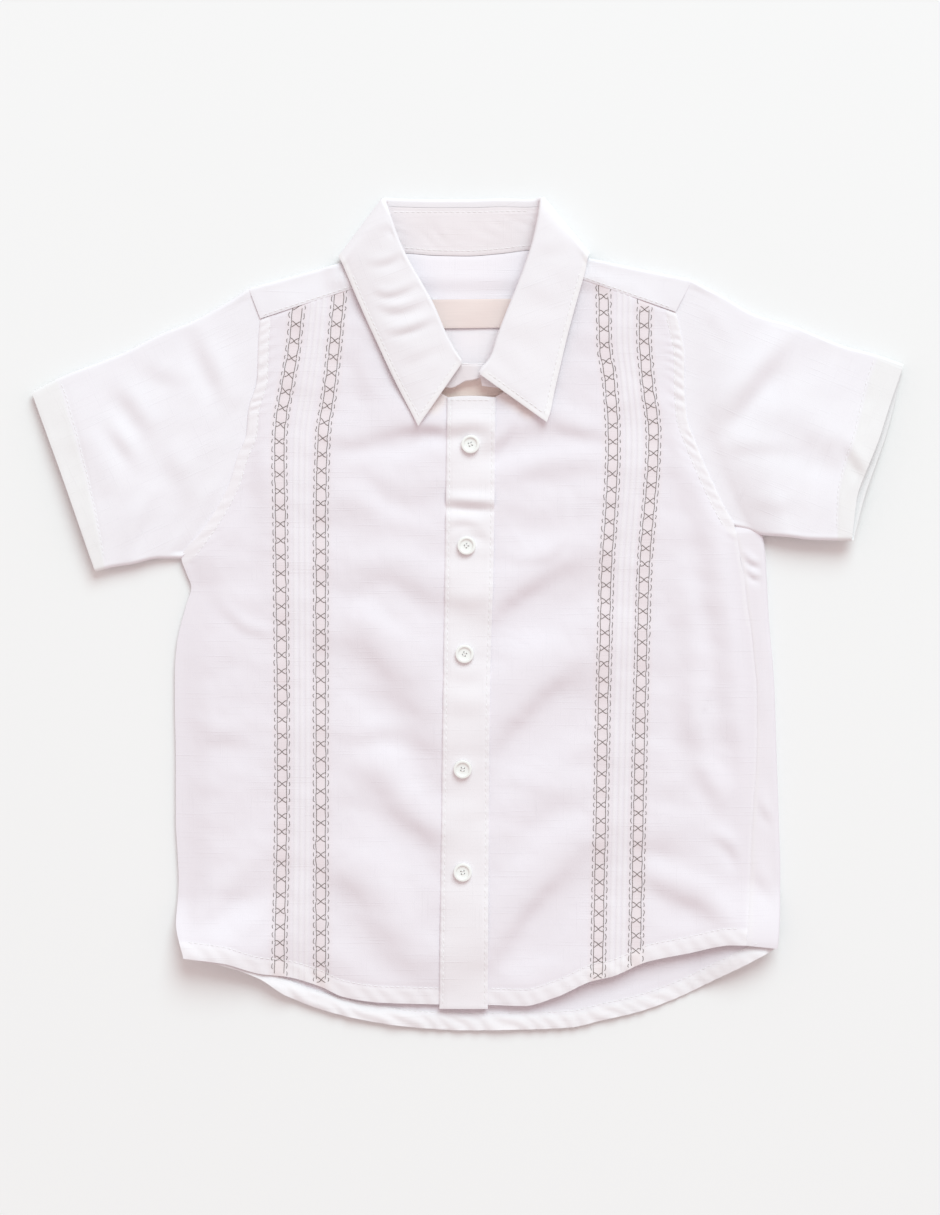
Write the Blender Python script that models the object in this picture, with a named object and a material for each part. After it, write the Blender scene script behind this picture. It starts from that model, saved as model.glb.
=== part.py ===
"""A short-sleeve shirt laid flat, front up, with its collar towards +Y.

Tables and sizes are in millimetres, and the meshes are in metres. The origin is on the
surface that the shirt lies on, under the middle of the shirt's box. Left and right are
as seen from above with the collar away from the viewer.
"""
import math

import bmesh
import bpy
import numpy as np
from mathutils import Vector

# Driving sizes
METRE = 0.001
CLOTH = 1.0
SEAM_GAP = 0.3
HALF = CLOTH / 2
LAYER = CLOTH + SEAM_GAP
FLOOR_LAYER = HALF
FRONT_REST = FLOOR_LAYER + LAYER

# Soft folds of cloth over an edge: half the distance between the two layers
EDGE_RADIUS = 1.6
TURN_ANGLES = (-90, -45, 0, 45, 90)

# Air between the front and the back, over what the lowest front layer needs
INNER_AIR = 2.5
LEAST_AIR = 0.15
MOST_AIR = 3.4
SIDE_EASE = 20
HEM_EASE = 25

# Armhole seams, from the shoulder edge down to the underarm: x, y
LEFT_ARMHOLE = [
    (-113.5, 168.5), (-107.5, 153), (-108.5, 139.5), (-109, 122), (-113.5, 106), (-114.5, 94),
    (-119.5, 81), (-123, 69), (-130.5, 54), (-138.5, 42), (-148.5, 29)]
RIGHT_ARMHOLE = [
    (116.5, 173), (108, 156.5), (110, 148), (112.5, 134), (112.5, 120), (113.5, 103),
    (118.5, 88), (124.5, 73.5), (131.5, 58.5), (135, 52), (138.5, 45.5)]

# Side edges below the underarm: x, y
LEFT_SIDE = [
    (-143.5, 13.5), (-146, 4.5), (-151, -16.5), (-152, -32), (-152, -47.5), (-151.7, -62),
    (-151.5, -76), (-151.5, -91.5), (-151.5, -107.5), (-150.7, -123), (-150, -138.5),
    (-151, -159.5), (-146.5, -177.5)]
RIGHT_SEAM = [
    (143.5, 17.5), (145, 4), (147, -8.5), (148.5, -24), (150, -40), (150, -60.5), (149.5, -80),
    (148, -99.5), (147, -116), (146.5, -132), (145.5, -148), (144.8, -158), (144, -171.5)]
RIGHT_OUTLINE = [
    (155, 17.5), (155.7, 4), (156.5, -8.5), (158, -24), (159, -40), (159.7, -60.5), (160.3, -80),
    (161, -99.5), (161.5, -116), (162, -132), (161.8, -148), (161.4, -157), (160, -173)]
LEFT_UNDERARM = (-146, 21)
RIGHT_UNDERARM = (141, 31.5)
BACK_UNDERARM = (154, 34)

# Yoke: shoulder edges, front seams, the neckline at the back and the seam across the back
BACK_YOKE_Y = 111
LEFT_NECK_POINT = (-57, 184)
RIGHT_NECK_POINT = (56, 185.5)
LEFT_YOKE_SEAM = [(-107.5, 153), (-52, 171)]
RIGHT_YOKE_SEAM = [(51.5, 176), (108, 156.5)]
BACK_NECK = [
    (-45, 185.5), (-33.5, 187), (-17, 185.8), (0, 185.5), (17, 186.7), (33, 188.5), (45, 187.3)]
SHOULDER_COLUMNS = 6

# Necklines of the two fronts, and their hems: x, y
LEFT_NECKLINE = [(-49.5, 163), (-42, 149), (-35, 137), (-25, 125), (-14.5, 115), (-9, 111.5)]
RIGHT_NECKLINE = [(13, 111.5), (18.5, 115), (29, 125), (38, 137), (45, 149), (49.5, 163)]
LEFT_HEM = [
    (-151, -177.5), (-146.5, -178), (-126.5, -180.5), (-107, -186.5), (-93.5, -188.5),
    (-75.5, -194), (-64.5, -199), (-44.5, -202), (-9, -203)]
RIGHT_HEM = [
    (9, -203), (29, -203.5), (46.5, -198.5), (64, -190.5), (75, -188), (93, -180.5),
    (115, -176), (137.5, -171.5), (145, -171.5)]
BACK_HEM = [
    (-151, -177.5), (-146.5, -178), (-126, -182), (-108, -189), (-93.5, -198.5), (-71, -207),
    (-49, -212), (-27, -215), (0, -216.5), (31, -216), (53, -215), (71, -211), (88.5, -207),
    (110.5, -199), (133, -187.5), (160, -173)]
HEM_BAND = 8.5
HEM_RISE = 0.4

# Centre lines of the two embroidered ladders on each front: y, x
LEFT_OUTER_LADDER = [(-184, -97.5), (-84, -96), (48, -97), (88, -97.5), (140, -90), (160, -88)]
LEFT_INNER_LADDER = [(-195, -76), (48, -76), (91, -75), (116, -71.5), (165, -66.5)]
RIGHT_INNER_LADDER = [(-188, 67.5), (18, 72), (88, 75.5), (119, 74), (140, 71), (169, 70.5)]
RIGHT_OUTER_LADDER = [(-184, 87), (18, 91.5), (93, 96.5), (119, 93.5), (146, 91.5), (163, 92)]
TUCK_SPACING = 3.0
TUCK_HEIGHT = 0.6
TUCKS = 3

# Placket down the middle: y, left edge, right edge
PLACKET = [(-204.5, -14.5, 10.5), (-45, -12.5, 11.5), (28, -11.5, 13.5), (111.5, -10.5, 14.5)]
PLACKET_TOP = 112
PLACKET_FOOT = -205
LAP = 3.0
FRONT_ROWS = 24

# Buttons down the placket, top to bottom: x, y
BUTTONS = [(1.5, 87.5), (-0.5, 35), (-1.5, -21), (-2.5, -80.5), (-2.5, -134)]
BUTTON_RADIUS = 4.75
BUTTON_HEIGHT = 2.2
BUTTON_SIDES = 20

# Folds of the body: start x, y, end x, y, width, height of its ridge and depth of its hollow
BODY_FOLDS = [
    (-69, 22, -14, 2, 9, 1.0), (-66, -24, -17, -79, 9, 1.5), (-63, -86, -19, -118, 8, 0.9),
    (-69, -136, -22, -188, 10, 1.1), (-66, 92, -9, 94, 8, 0.8), (64, 25, 14, 2, 10, 1.4),
    (61, -32, 17, -84, 10, 1.5), (64, -123, 17, -180, 11, 1.4), (108, 80, 96, 60, 8, 0.8),
    (113, 80, 128, 4, 9, -0.9), (128, 4, 140, -112, 9, -0.9), (92, -138, 124, -166, 8, 0.7),
    (-128, -159, -102, -138, 8, 0.8), (-12, 58, 13, 56, 6, 1.1), (-129, 0, -110, -11, 5, 0.4)]

# Air under the front's edges: along the left and right edges by y, along the hem by x
LEFT_EDGE_AIR = [(-178, 0.4), (10, 0.3), (29, 1.0), (42, 1.9), (170, 1.9)]
RIGHT_EDGE_AIR = [(-172, 2.5), (20, 2.5), (45, 2.2), (170, 1.9)]
HEM_AIR = [(-150, 0.4), (-60, 1.2), (0, 1.6), (60, 2.6), (120, 3.2), (145, 2.5)]

# Sleeve edges in plan, from the armhole to the cuff, and the cuff lines: x, y
LEFT_SLEEVE_TOP = [
    (-113.5, 168.5), (-126.5, 160), (-143.5, 151), (-157.5, 145.5), (-177.5, 135.5),
    (-192.5, 129.5), (-209.5, 123), (-226, 114.5)]
LEFT_SLEEVE_UNDER = [(-148.5, 29), (-160, 29), (-174, 26), (-183.5, 24.5), (-193, 22)]
LEFT_CUFF = [(-226, 114.5), (-209, 68), (-193, 22)]
RIGHT_SLEEVE_TOP = [
    (116.5, 173), (134, 163.5), (149, 155), (170.5, 148.5), (182.5, 143.5), (198.5, 137.5),
    (208.5, 135), (226.2, 129)]
RIGHT_SLEEVE_UNDER = [(138.5, 45.5), (145.5, 44), (153.5, 41), (165.5, 40), (177.5, 38.5), (198.5, 38)]
RIGHT_CUFF_FRONT = [(226.2, 129), (218.5, 107), (213, 89), (206.5, 70.5), (201.5, 60.5), (198.5, 38)]
RIGHT_CUFF_BACK = [(226.2, 129), (222, 108), (217.5, 90), (211.5, 73), (206, 60.5), (199.5, 38)]
SLEEVE_STATIONS = (0, 0.07, 0.16, 0.27, 0.38, 0.49, 0.6, 0.71, 0.8, 0.86, 0.885, 1)
SLEEVE_HEM_STATION = 0.88
SLEEVE_PUFF = 0.7
SLEEVE_LEAST = 2.2
SLEEVE_MOST = 4.8
LEFT_SLEEVE_FOLDS = [
    (-143, 151, -128, 113, 5, 0.8), (-183, 116, -166, 94, 5, 0.6), (-174, 28, -162, 60, 5, 0.7),
    (-185, 96, -174, 78, 4, 0.4), (-150, 30, -131, 72, 6, -0.7)]
RIGHT_SLEEVE_FOLDS = [
    (168, 147, 148, 131, 9, 0.9), (148, 131, 130, 96, 9, 1.1), (182, 142, 165, 122, 6, 0.5),
    (134, 80, 200, 78, 9, 0.9), (180, 46, 186, 74, 4, 0.4)]

# Collar, once round from the left front end to the right one. The stand runs from the neck
# seam up to the roll; the fall runs from the roll to its free edge. Turn is 0 where the fall
# lies over the stand, 180 where it lies under it.
# seam x, y, z, roll x, y, z, free edge x, y, z, turn
COLLAR = [
    (-1.0, 120.5, 6.0, 1.3, 128.5, 7.2, -25.5, 97.0, 8.2, 0),
    (-9.0, 117.0, 5.6, -3.0, 134.5, 7.6, -28.5, 103.0, 8.4, 0),
    (-21.0, 122.5, 5.2, -10.0, 144.5, 8.0, -33.5, 112.5, 8.6, 0),
    (-33.0, 136.8, 5.0, -17.5, 158.0, 8.4, -40.0, 125.5, 8.8, 0),
    (-41.5, 149.8, 5.0, -23.5, 170.0, 8.6, -46.0, 138.5, 9.0, 0),
    (-48.5, 163.5, 5.2, -29.5, 182.0, 8.8, -52.0, 151.5, 9.0, 0),
    (-51.6, 172.0, 5.4, -35.0, 193.0, 9.0, -57.5, 164.0, 9.2, 0),
    (-54.8, 180.6, 5.2, -39.5, 203.5, 9.0, -62.8, 176.5, 9.0, 8),
    (-55.6, 183.4, 4.6, -42.0, 208.5, 8.4, -65.0, 181.5, 8.0, 40),
    (-55.4, 184.9, 3.4, -43.3, 211.0, 6.6, -66.6, 184.8, 4.4, 90),
    (-54.0, 185.6, 2.4, -42.8, 211.4, 5.0, -66.2, 184.2, 1.5, 140),
    (-45.0, 185.8, 1.9, -40.0, 211.2, 3.9, -63.0, 179.0, 0.5, 175),
    (-33.5, 187.3, 1.8, -31.0, 210.8, 3.6, -42.0, 176.5, 0.5, 180),
    (-17.0, 186.1, 1.8, -16.5, 210.5, 3.6, -22.0, 176.0, 0.5, 180),
    (0.0, 185.8, 1.8, 0.0, 210.5, 3.6, 0.0, 176.0, 0.5, 180),
    (17.0, 187.0, 1.8, 16.5, 211.0, 3.6, 22.0, 176.2, 0.5, 180),
    (33.0, 188.8, 1.8, 30.0, 210.8, 3.6, 44.0, 176.8, 0.5, 180),
    (45.0, 187.6, 1.9, 35.5, 211.0, 3.9, 61.0, 184.0, 0.5, 175),
    (53.0, 187.2, 2.4, 38.3, 211.8, 5.0, 62.7, 186.8, 1.3, 140),
    (54.6, 186.4, 3.4, 38.8, 211.9, 6.6, 63.0, 187.0, 4.4, 90),
    (54.3, 184.4, 4.6, 37.5, 209.9, 8.4, 62.2, 184.0, 8.0, 40),
    (53.0, 181.0, 5.2, 35.5, 204.5, 9.0, 61.2, 178.5, 9.0, 8),
    (50.0, 172.5, 5.4, 32.0, 192.5, 9.0, 58.0, 167.0, 9.2, 0),
    (48.0, 163.4, 5.2, 28.0, 179.5, 8.8, 54.5, 154.5, 9.0, 0),
    (43.4, 150.0, 5.0, 23.5, 166.5, 8.6, 51.0, 141.0, 9.0, 0),
    (36.3, 138.2, 5.0, 19.0, 153.5, 8.4, 48.0, 128.0, 8.8, 0),
    (27.6, 126.2, 5.2, 15.0, 141.5, 8.0, 45.0, 115.0, 8.6, 0),
    (17.5, 117.0, 5.6, 11.5, 131.5, 7.6, 43.0, 105.0, 8.4, 0),
    (7.5, 118.0, 6.0, 6.5, 124.0, 7.2, 41.0, 99.0, 8.2, 0)]
ROLL_RADIUS = 1.25
ROLL_REACH = 1.0
BACK_ROLL_REACH = 2.2
STAND_POINTS = 4
LEAF_POINTS = 6
COLLAR_SPLITS = 2

# Where the collar's fall lies under the yoke, the layers over it step up
FALL_FREE_Y = 166
FALL_HALF_WIDTH = 77
STEP_WIDTH = 9

# Neck label inside the back yoke
LABEL_CENTRE = (3.2, 155.8)
LABEL_SIZE = (44, 16.5)


def ease(value):
    """Runs smoothly from 0 to 1 as the value does."""
    value = min(1.0, max(0.0, value))
    return value * value * (3 - 2 * value)


def read(rows, key, column=1):
    """Reads a column of a table at a key, in straight steps between its rows."""
    ordered = sorted(rows)
    return float(np.interp(key, [row[0] for row in ordered], [row[column] for row in ordered]))


def swapped(rows):
    """The same points with y first, to be read by their y."""
    return [(y, x) for x, y in rows]


def mix(start, end, share):
    """The value or point at a share of the way from start to end."""
    return start + (end - start) * share


def plan(point):
    """A table's point as a vector on the surface."""
    return Vector((point[0], point[1], 0))


def travel(rows, share):
    """The point at a share of a line's length."""
    points = [plan(row) for row in rows]
    lengths = [(b - a).length for a, b in zip(points, points[1:])]
    left = share * sum(lengths)
    for start, end, length in zip(points, points[1:], lengths):
        if left <= length:
            return mix(start, end, left / length)
        left -= length
    return points[-1]


def shares(rows):
    """The share of a line's length at each of its points."""
    points = [plan(row) for row in rows]
    total = [0.0]
    for start, end in zip(points, points[1:]):
        total.append(total[-1] + (end - start).length)
    return [value / total[-1] for value in total]


def moved_aside(rows, distance):
    """A line moved sideways: to its right, going along it, where the distance is positive."""
    points = [plan(row) for row in rows]
    sides = []
    for start, end in zip(points, points[1:]):
        direction = (end - start).normalized()
        sides.append(Vector((direction.y, -direction.x, 0)))
    result = []
    for index, point in enumerate(points):
        before = sides[max(0, index - 1)]
        after = sides[min(len(sides) - 1, index)]
        side = (before + after).normalized()
        result.append(point + side * (distance / side.dot(after)))
    return [(point.x, point.y) for point in result]


def fold_height(folds, x, y):
    """Ridges and hollows of soft folds: each rises on its upper side and sinks on its lower one."""
    height = 0.0
    for start_x, start_y, end_x, end_y, width, depth in folds:
        start = Vector((start_x, start_y))
        direction = Vector((end_x, end_y)) - start
        length = direction.length
        direction /= length
        offset = Vector((x, y)) - start
        along = offset.dot(direction)
        past = max(0.0, -along, along - length)
        side = Vector((-direction.y, direction.x))
        if side.y < 0:
            side = -side
        across = offset.dot(side) / width
        height += depth * across * math.exp(0.5 * (1 - across * across)) * math.exp(-(past / width) ** 2)
    return height


def step_over_fall(x, y):
    """How far the layers step up over the collar's fall: 0 beside it, 1 over it."""
    return ease((y - FALL_FREE_Y) / STEP_WIDTH) * ease((FALL_HALF_WIDTH - abs(x)) / STEP_WIDTH)


def side_guides():
    """The body's left and right edges: x read by y."""
    left = swapped(LEFT_ARMHOLE[1:] + [LEFT_UNDERARM] + LEFT_SIDE)
    right = swapped(RIGHT_ARMHOLE[1:] + [RIGHT_UNDERARM] + RIGHT_SEAM)
    return left, right


LEFT_GUIDE, RIGHT_GUIDE = side_guides()


def front_height(x, y):
    """Middle of the front's cloth above the surface."""
    left = ease((x - read(LEFT_GUIDE, y)) / SIDE_EASE)
    right = ease((read(RIGHT_GUIDE, y) - x) / SIDE_EASE)
    air = INNER_AIR
    air += (read(LEFT_EDGE_AIR, y) - INNER_AIR) * (1 - left)
    air += (read(RIGHT_EDGE_AIR, y) - INNER_AIR) * (1 - right)
    hem = read(LEFT_HEM if x < 0 else RIGHT_HEM, x)
    air = mix(read(HEM_AIR, x), air, ease((y - hem) / HEM_EASE))
    air += fold_height(BODY_FOLDS, x, y) * left * right
    air = min(MOST_AIR, max(LEAST_AIR, air))
    return FRONT_REST + air + LAYER * step_over_fall(x, y)


def placket_edges(y):
    """Left and right edge of the placket at y."""
    return read(PLACKET, y, 1), read(PLACKET, y, 2)


def band_height(x, y):
    """Middle of the cloth under the placket: straight from one edge of the placket to the other."""
    left, right = placket_edges(y)
    share = (x - left) / (right - left)
    return mix(front_height(left, y), front_height(right, y), share)


def wall(name, points, quads, material, out=None, inner=None):
    """Gives a sheet of quads its thickness: a closed wall with upright edges at its seams."""
    count = len(points)
    out = out or [HALF] * count
    inner = inner or [HALF] * count
    normals = [Vector((0, 0, 0)) for _ in range(count)]
    edges = {}
    for quad in quads:
        a, b, c, d = (points[index] for index in quad)
        normal = (c - a).cross(d - b)
        for index, corner in enumerate(quad):
            normals[corner] += normal
            edges[(corner, quad[(index + 1) % 4])] = True
    rim = [edge for edge in edges if (edge[1], edge[0]) not in edges]
    following = dict(rim)
    leading = {end: start for start, end in rim}
    offsets = []
    for index in range(count):
        normal = normals[index].normalized()
        offset = normal.copy()
        if index in following:
            tangent = (points[following[index]] - points[leading[index]]).normalized()
            outward = normal.cross(tangent)
            outward.z = 0
            if outward.length > HALF:
                outward.normalize()
                offset -= outward * offset.dot(outward)
                offset /= max(HALF, offset.dot(normal))
        offsets.append(offset)
    upper = [points[i] + offsets[i] * out[i] for i in range(count)]
    lower = [points[i] - offsets[i] * inner[i] for i in range(count)]
    for point in upper + lower:
        point.z = max(0.0, point.z)
    faces = []
    for a, b, c, d in quads:
        faces += [(a, b, c), (a, c, d)]
        faces += [(c + count, b + count, a + count), (d + count, c + count, a + count)]
    for start, end in rim:
        faces += [(end, start, start + count), (end, start + count, end + count)]
    mesh = bpy.data.meshes.new(name)
    mesh.from_pydata([point * METRE for point in upper + lower], [], faces)
    return finished(name, mesh, material)


def finished(name, mesh, material):
    """Puts a mesh in the scene as one named piece with its material."""
    mesh.materials.append(material)
    mesh.shade_smooth()
    mesh.set_sharp_from_angle(angle=math.radians(50))
    piece = bpy.data.objects.new(name, mesh)
    bpy.context.collection.objects.link(piece)
    return piece


def grid_quads(rows, columns, first=0):
    """Quads of a grid whose points run row by row, from the top row down, left to right."""
    quads = []
    for row in range(rows - 1):
        for column in range(columns - 1):
            corner = first + row * columns + column
            quads.append((corner, corner + columns, corner + columns + 1, corner + 1))
    return quads


def make_material(name, colour, roughness):
    """A plain material with a colour and a roughness."""
    material = bpy.data.materials.new(name)
    material.use_nodes = True
    shader = material.node_tree.nodes["Principled BSDF"]
    shader.inputs["Base Color"].default_value = (*colour, 1)
    shader.inputs["Roughness"].default_value = roughness
    shader.inputs["Metallic"].default_value = 0
    return material


def column_places(inner_ladder_first):
    """Columns across a front, from its first guide to its last: guide, share, tuck height."""
    outer, strip, inner = 7, [], 8
    for index in range(2 * TUCKS + 1):
        strip.append(((index - TUCKS) * TUCK_SPACING / 2, TUCK_HEIGHT if index % 2 else 0.0))
    if inner_ladder_first:
        outer, inner = inner, outer
    places = [(0, index / outer, None, 0.0) for index in range(outer)]
    places.append((1, 0.0, None, 0.0))
    places += [(1, 0.5, shift, height) for shift, height in strip]
    places.append((2, 0.0, None, 0.0))
    places += [(2, (index + 1) / inner, None, 0.0) for index in range(inner)]
    return places


def column_x(guides, place, y):
    """x of a column at y: between two guide lines, or beside the middle of the tucked strip."""
    guide, share, shift, _ = place
    start = read(guides[guide], y)
    end = read(guides[guide + 1], y)
    return mix(start, end, share) + (shift or 0.0)


def meeting_y(guides, place, boundary, first_y):
    """y where a column meets a boundary line, found by halving."""
    y = first_y
    for _ in range(40):
        y = mix(y, read(boundary, column_x(guides, place, y)), 0.5)
    return y


def front(name, material, guides, side_rows, top, bottom, placket_side):
    """One front: columns between its guide lines, rows from the yoke and neckline to the hem."""
    places = column_places(placket_side < 0)
    side_top, side_foot = side_rows[0][1], side_rows[-1][1]
    side_levels = [(side_top - y) / (side_top - side_foot) for _, y in side_rows]
    points, out = [], []
    columns = len(places)
    spans = []
    for place in places:
        spans.append((meeting_y(guides, place, top, BACK_YOKE_Y),
                      meeting_y(guides, place, bottom, side_foot)))
    for row in range(FRONT_ROWS):
        for index, place in enumerate(places):
            across = index / (columns - 1)
            if placket_side < 0:
                across = 1 - across
            level = mix(side_levels[row], row / (FRONT_ROWS - 1), across)
            y = mix(spans[index][0], spans[index][1], level)
            x = column_x(guides, place, y)
            left, right = placket_edges(y)
            height = band_height(x, y) if left - 0.1 <= x <= right + 0.1 else front_height(x, y)
            points.append(Vector((x, y, height)))
            out.append(HALF + place[3])
    return wall(name, points, grid_quads(FRONT_ROWS, columns), material, out=out)


def make_fronts(material):
    """Both fronts. Each reaches a little way under the placket."""
    left_edge = [(y, left + LAP) for y, left, _ in PLACKET]
    right_edge = [(y, right - LAP) for y, _, right in PLACKET]
    seam_drop = SEAM_GAP + 0.02
    left_top = [(x, y - seam_drop) for x, y in LEFT_YOKE_SEAM] + LEFT_NECKLINE
    right_top = RIGHT_NECKLINE + [(x, y - seam_drop) for x, y in RIGHT_YOKE_SEAM]
    left_rows = LEFT_ARMHOLE[1:] + [LEFT_UNDERARM] + LEFT_SIDE
    right_rows = RIGHT_ARMHOLE[1:] + [RIGHT_UNDERARM] + RIGHT_SEAM
    left_rows[0] = (left_rows[0][0], left_rows[0][1] - seam_drop)
    right_rows[0] = (right_rows[0][0], right_rows[0][1] - seam_drop)
    front("front_left", material, [LEFT_GUIDE, LEFT_OUTER_LADDER, LEFT_INNER_LADDER, left_edge],
          left_rows, left_top, LEFT_HEM, 1)
    front("front_right", material, [right_edge, RIGHT_INNER_LADDER, RIGHT_OUTER_LADDER, RIGHT_GUIDE],
          right_rows, right_top, RIGHT_HEM, -1)


def band(name, material, top, foot, inset, rise, shares_across, crown):
    """A strip down the middle, over or between the fronts, on the same rows as their inner edges."""
    points = []
    neck_y, hem_y = LEFT_NECKLINE[-1][1], LEFT_HEM[-1][1]
    levels = [mix(neck_y, hem_y, row / (FRONT_ROWS - 1)) for row in range(FRONT_ROWS)]
    levels[0], levels[-1] = top, foot
    for y in levels:
        left, right = placket_edges(y)
        for share in shares_across:
            x = mix(left + inset, right - inset, share)
            height = band_height(x, y) + rise + crown * math.sin(math.pi * share)
            points.append(Vector((x, y, height)))
    wall(name, points, grid_quads(len(levels), len(shares_across)), material)


def make_placket(material):
    """The placket and the button band that it covers."""
    band("placket", material, PLACKET_TOP, PLACKET_FOOT, 0, LAYER, (0, 0.12, 0.5, 0.88, 1), 0.25)
    band("button_band", material, PLACKET_TOP - 1, PLACKET_FOOT + 2, LAP + SEAM_GAP, 0, (0, 0.5, 1), 0)


def placket_top(x, y):
    """Upper face of the placket."""
    left, right = placket_edges(y)
    share = (x - left) / (right - left)
    return band_height(x, y) + LAYER + HALF + 0.25 * math.sin(math.pi * share)


def make_buttons(material):
    """Five dished buttons, turned from one profile and tilted with the cloth under them."""
    rim, dish = BUTTON_RADIUS, BUTTON_RADIUS * 0.66
    top = BUTTON_HEIGHT
    profile = [
        (0, 0), (rim - 0.9, 0), (rim, 0.7), (rim - 0.1, top - 0.5), (rim - 0.6, top),
        (dish + 0.3, top - 0.1), (dish, top - 0.7), (0, top - 0.9)]
    for number, (x, y) in enumerate(BUTTONS, 1):
        reach = BUTTON_RADIUS - 0.9
        ahead, behind = placket_top(x, y + reach), placket_top(x, y - reach)
        tilt = math.atan2(ahead - behind, 2 * reach)
        middle = (ahead + behind) / 2
        crest = max(placket_top(x + dx, y + dy) - mix(behind, ahead, (dy + reach) / (2 * reach))
                    for dx in (-3, 0, 3) for dy in (-reach, -2, 0, 2, reach))
        mesh = bpy.data.meshes.new(f"button_{number}")
        shape = bmesh.new()
        verts = [shape.verts.new((radius * METRE, 0, height * METRE)) for radius, height in profile]
        edges = [shape.edges.new(pair) for pair in zip(verts, verts[1:])]
        bmesh.ops.spin(shape, geom=verts + edges, cent=(0, 0, 0), axis=(0, 0, 1),
                       angle=math.tau, steps=BUTTON_SIDES, use_merge=True)
        bmesh.ops.remove_doubles(shape, verts=shape.verts, dist=0.00001)
        bmesh.ops.recalc_face_normals(shape, faces=shape.faces)
        shape.to_mesh(mesh)
        shape.free()
        piece = finished(f"button_{number}", mesh, material)
        piece.rotation_euler = (tilt, 0, 0)
        piece.location = Vector((x, y, middle + max(0.0, crest) + SEAM_GAP)) * METRE


def make_back(material):
    """The back below the yoke, flat on the surface, turned up over the right edge to the side seam."""
    left_start = (read(swapped(LEFT_ARMHOLE), BACK_YOKE_Y), BACK_YOKE_Y - SEAM_GAP)
    right_start = (read(swapped(RIGHT_ARMHOLE), BACK_YOKE_Y), BACK_YOKE_Y - SEAM_GAP)
    left_rows = [left_start] + [row for row in LEFT_ARMHOLE if row[1] < BACK_YOKE_Y] + LEFT_SIDE
    right_rows = [right_start] + [row for row in RIGHT_ARMHOLE if row[1] < BACK_YOKE_Y]
    right_rows += [BACK_UNDERARM] + RIGHT_OUTLINE
    seam_rows = [RIGHT_UNDERARM] + RIGHT_SEAM
    for edge_rows in (left_rows, right_rows, seam_rows):
        band_y = edge_rows[-1][1] + HEM_BAND
        edge_rows.insert(len(edge_rows) - 1, (read(swapped(edge_rows[-2:]), band_y), band_y))
    rows, columns = len(left_rows), 19
    wrap_first = rows - len(seam_rows)
    points, quads, out = [], [], []
    for row in range(rows):
        left, right = plan(left_rows[row]), plan(right_rows[row])
        turned = row >= wrap_first
        for column in range(columns):
            place = mix(left, right, column / (columns - 1))
            chord = mix(left_rows[-1][1], right_rows[-1][1], column / (columns - 1))
            drop = read(BACK_HEM, place.x) - chord
            place.y += drop * ease((-55 - left.y) / 105)
            if turned and column == columns - 1:
                place.x -= turn_radius(seam_rows[row - wrap_first])
            place.z = FLOOR_LAYER
            points.append(place)
            out.append(HALF)
    quads += grid_quads(rows, columns)
    quads = [tuple(reversed(quad)) for quad in quads]
    inner = [HALF] * len(points)
    for row in (rows - 2, rows - 1):
        for column in range(1, columns - 1):
            ripple = 0.5 + 0.5 * math.cos(math.pi * column)
            inner[row * columns + column] += HEM_RISE * (0.4 + 0.6 * ripple)
    edge_of = {row: row * columns + columns - 1 for row in range(rows)}
    previous = None
    for row in range(wrap_first, rows):
        seam = plan(seam_rows[row - wrap_first]) + Vector((SEAM_GAP, 0, 0))
        outline = plan(right_rows[row])
        radius = turn_radius(seam_rows[row - wrap_first])
        chain = [edge_of[row]]
        for angle in TURN_ANGLES[1:]:
            turn = math.radians(angle)
            place = outline + Vector((-radius + radius * math.cos(turn), 0, 0))
            place.z = FLOOR_LAYER + radius + radius * math.sin(turn)
            chain.append(len(points))
            points.append(place)
            out.append(HALF)
            inner.append(HALF)
        last = points[chain[-1]]
        for share in (0.5, 1):
            place = mix(last, seam, share)
            place.z = FLOOR_LAYER + 2 * radius
            chain.append(len(points))
            points.append(place)
            out.append(HALF)
            inner.append(HALF)
        if previous:
            for index in range(len(chain) - 1):
                quads.append((previous[index], previous[index + 1], chain[index + 1], chain[index]))
        previous = chain
    wall("back", points, quads, material, out=out, inner=inner)


def turn_radius(seam):
    """Half the height of the fold at the right edge, so that it ends level with the front."""
    return (front_height(seam[0], seam[1]) - FLOOR_LAYER) / 2


def yoke_columns():
    """Columns of the yoke along its upper edge: edge point, front seam point or None."""
    columns = []
    for index in range(SHOULDER_COLUMNS):
        share = index / (SHOULDER_COLUMNS - 1)
        edge = mix(plan(LEFT_ARMHOLE[0]), plan(LEFT_NECK_POINT), share)
        columns.append((edge, mix(plan(LEFT_YOKE_SEAM[0]), plan(LEFT_YOKE_SEAM[1]), share)))
    columns += [(plan(point), None) for point in BACK_NECK]
    for index in range(SHOULDER_COLUMNS):
        share = index / (SHOULDER_COLUMNS - 1)
        edge = mix(plan(RIGHT_NECK_POINT), plan(RIGHT_ARMHOLE[0]), share)
        columns.append((edge, mix(plan(RIGHT_YOKE_SEAM[0]), plan(RIGHT_YOKE_SEAM[1]), share)))
    return columns


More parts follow.
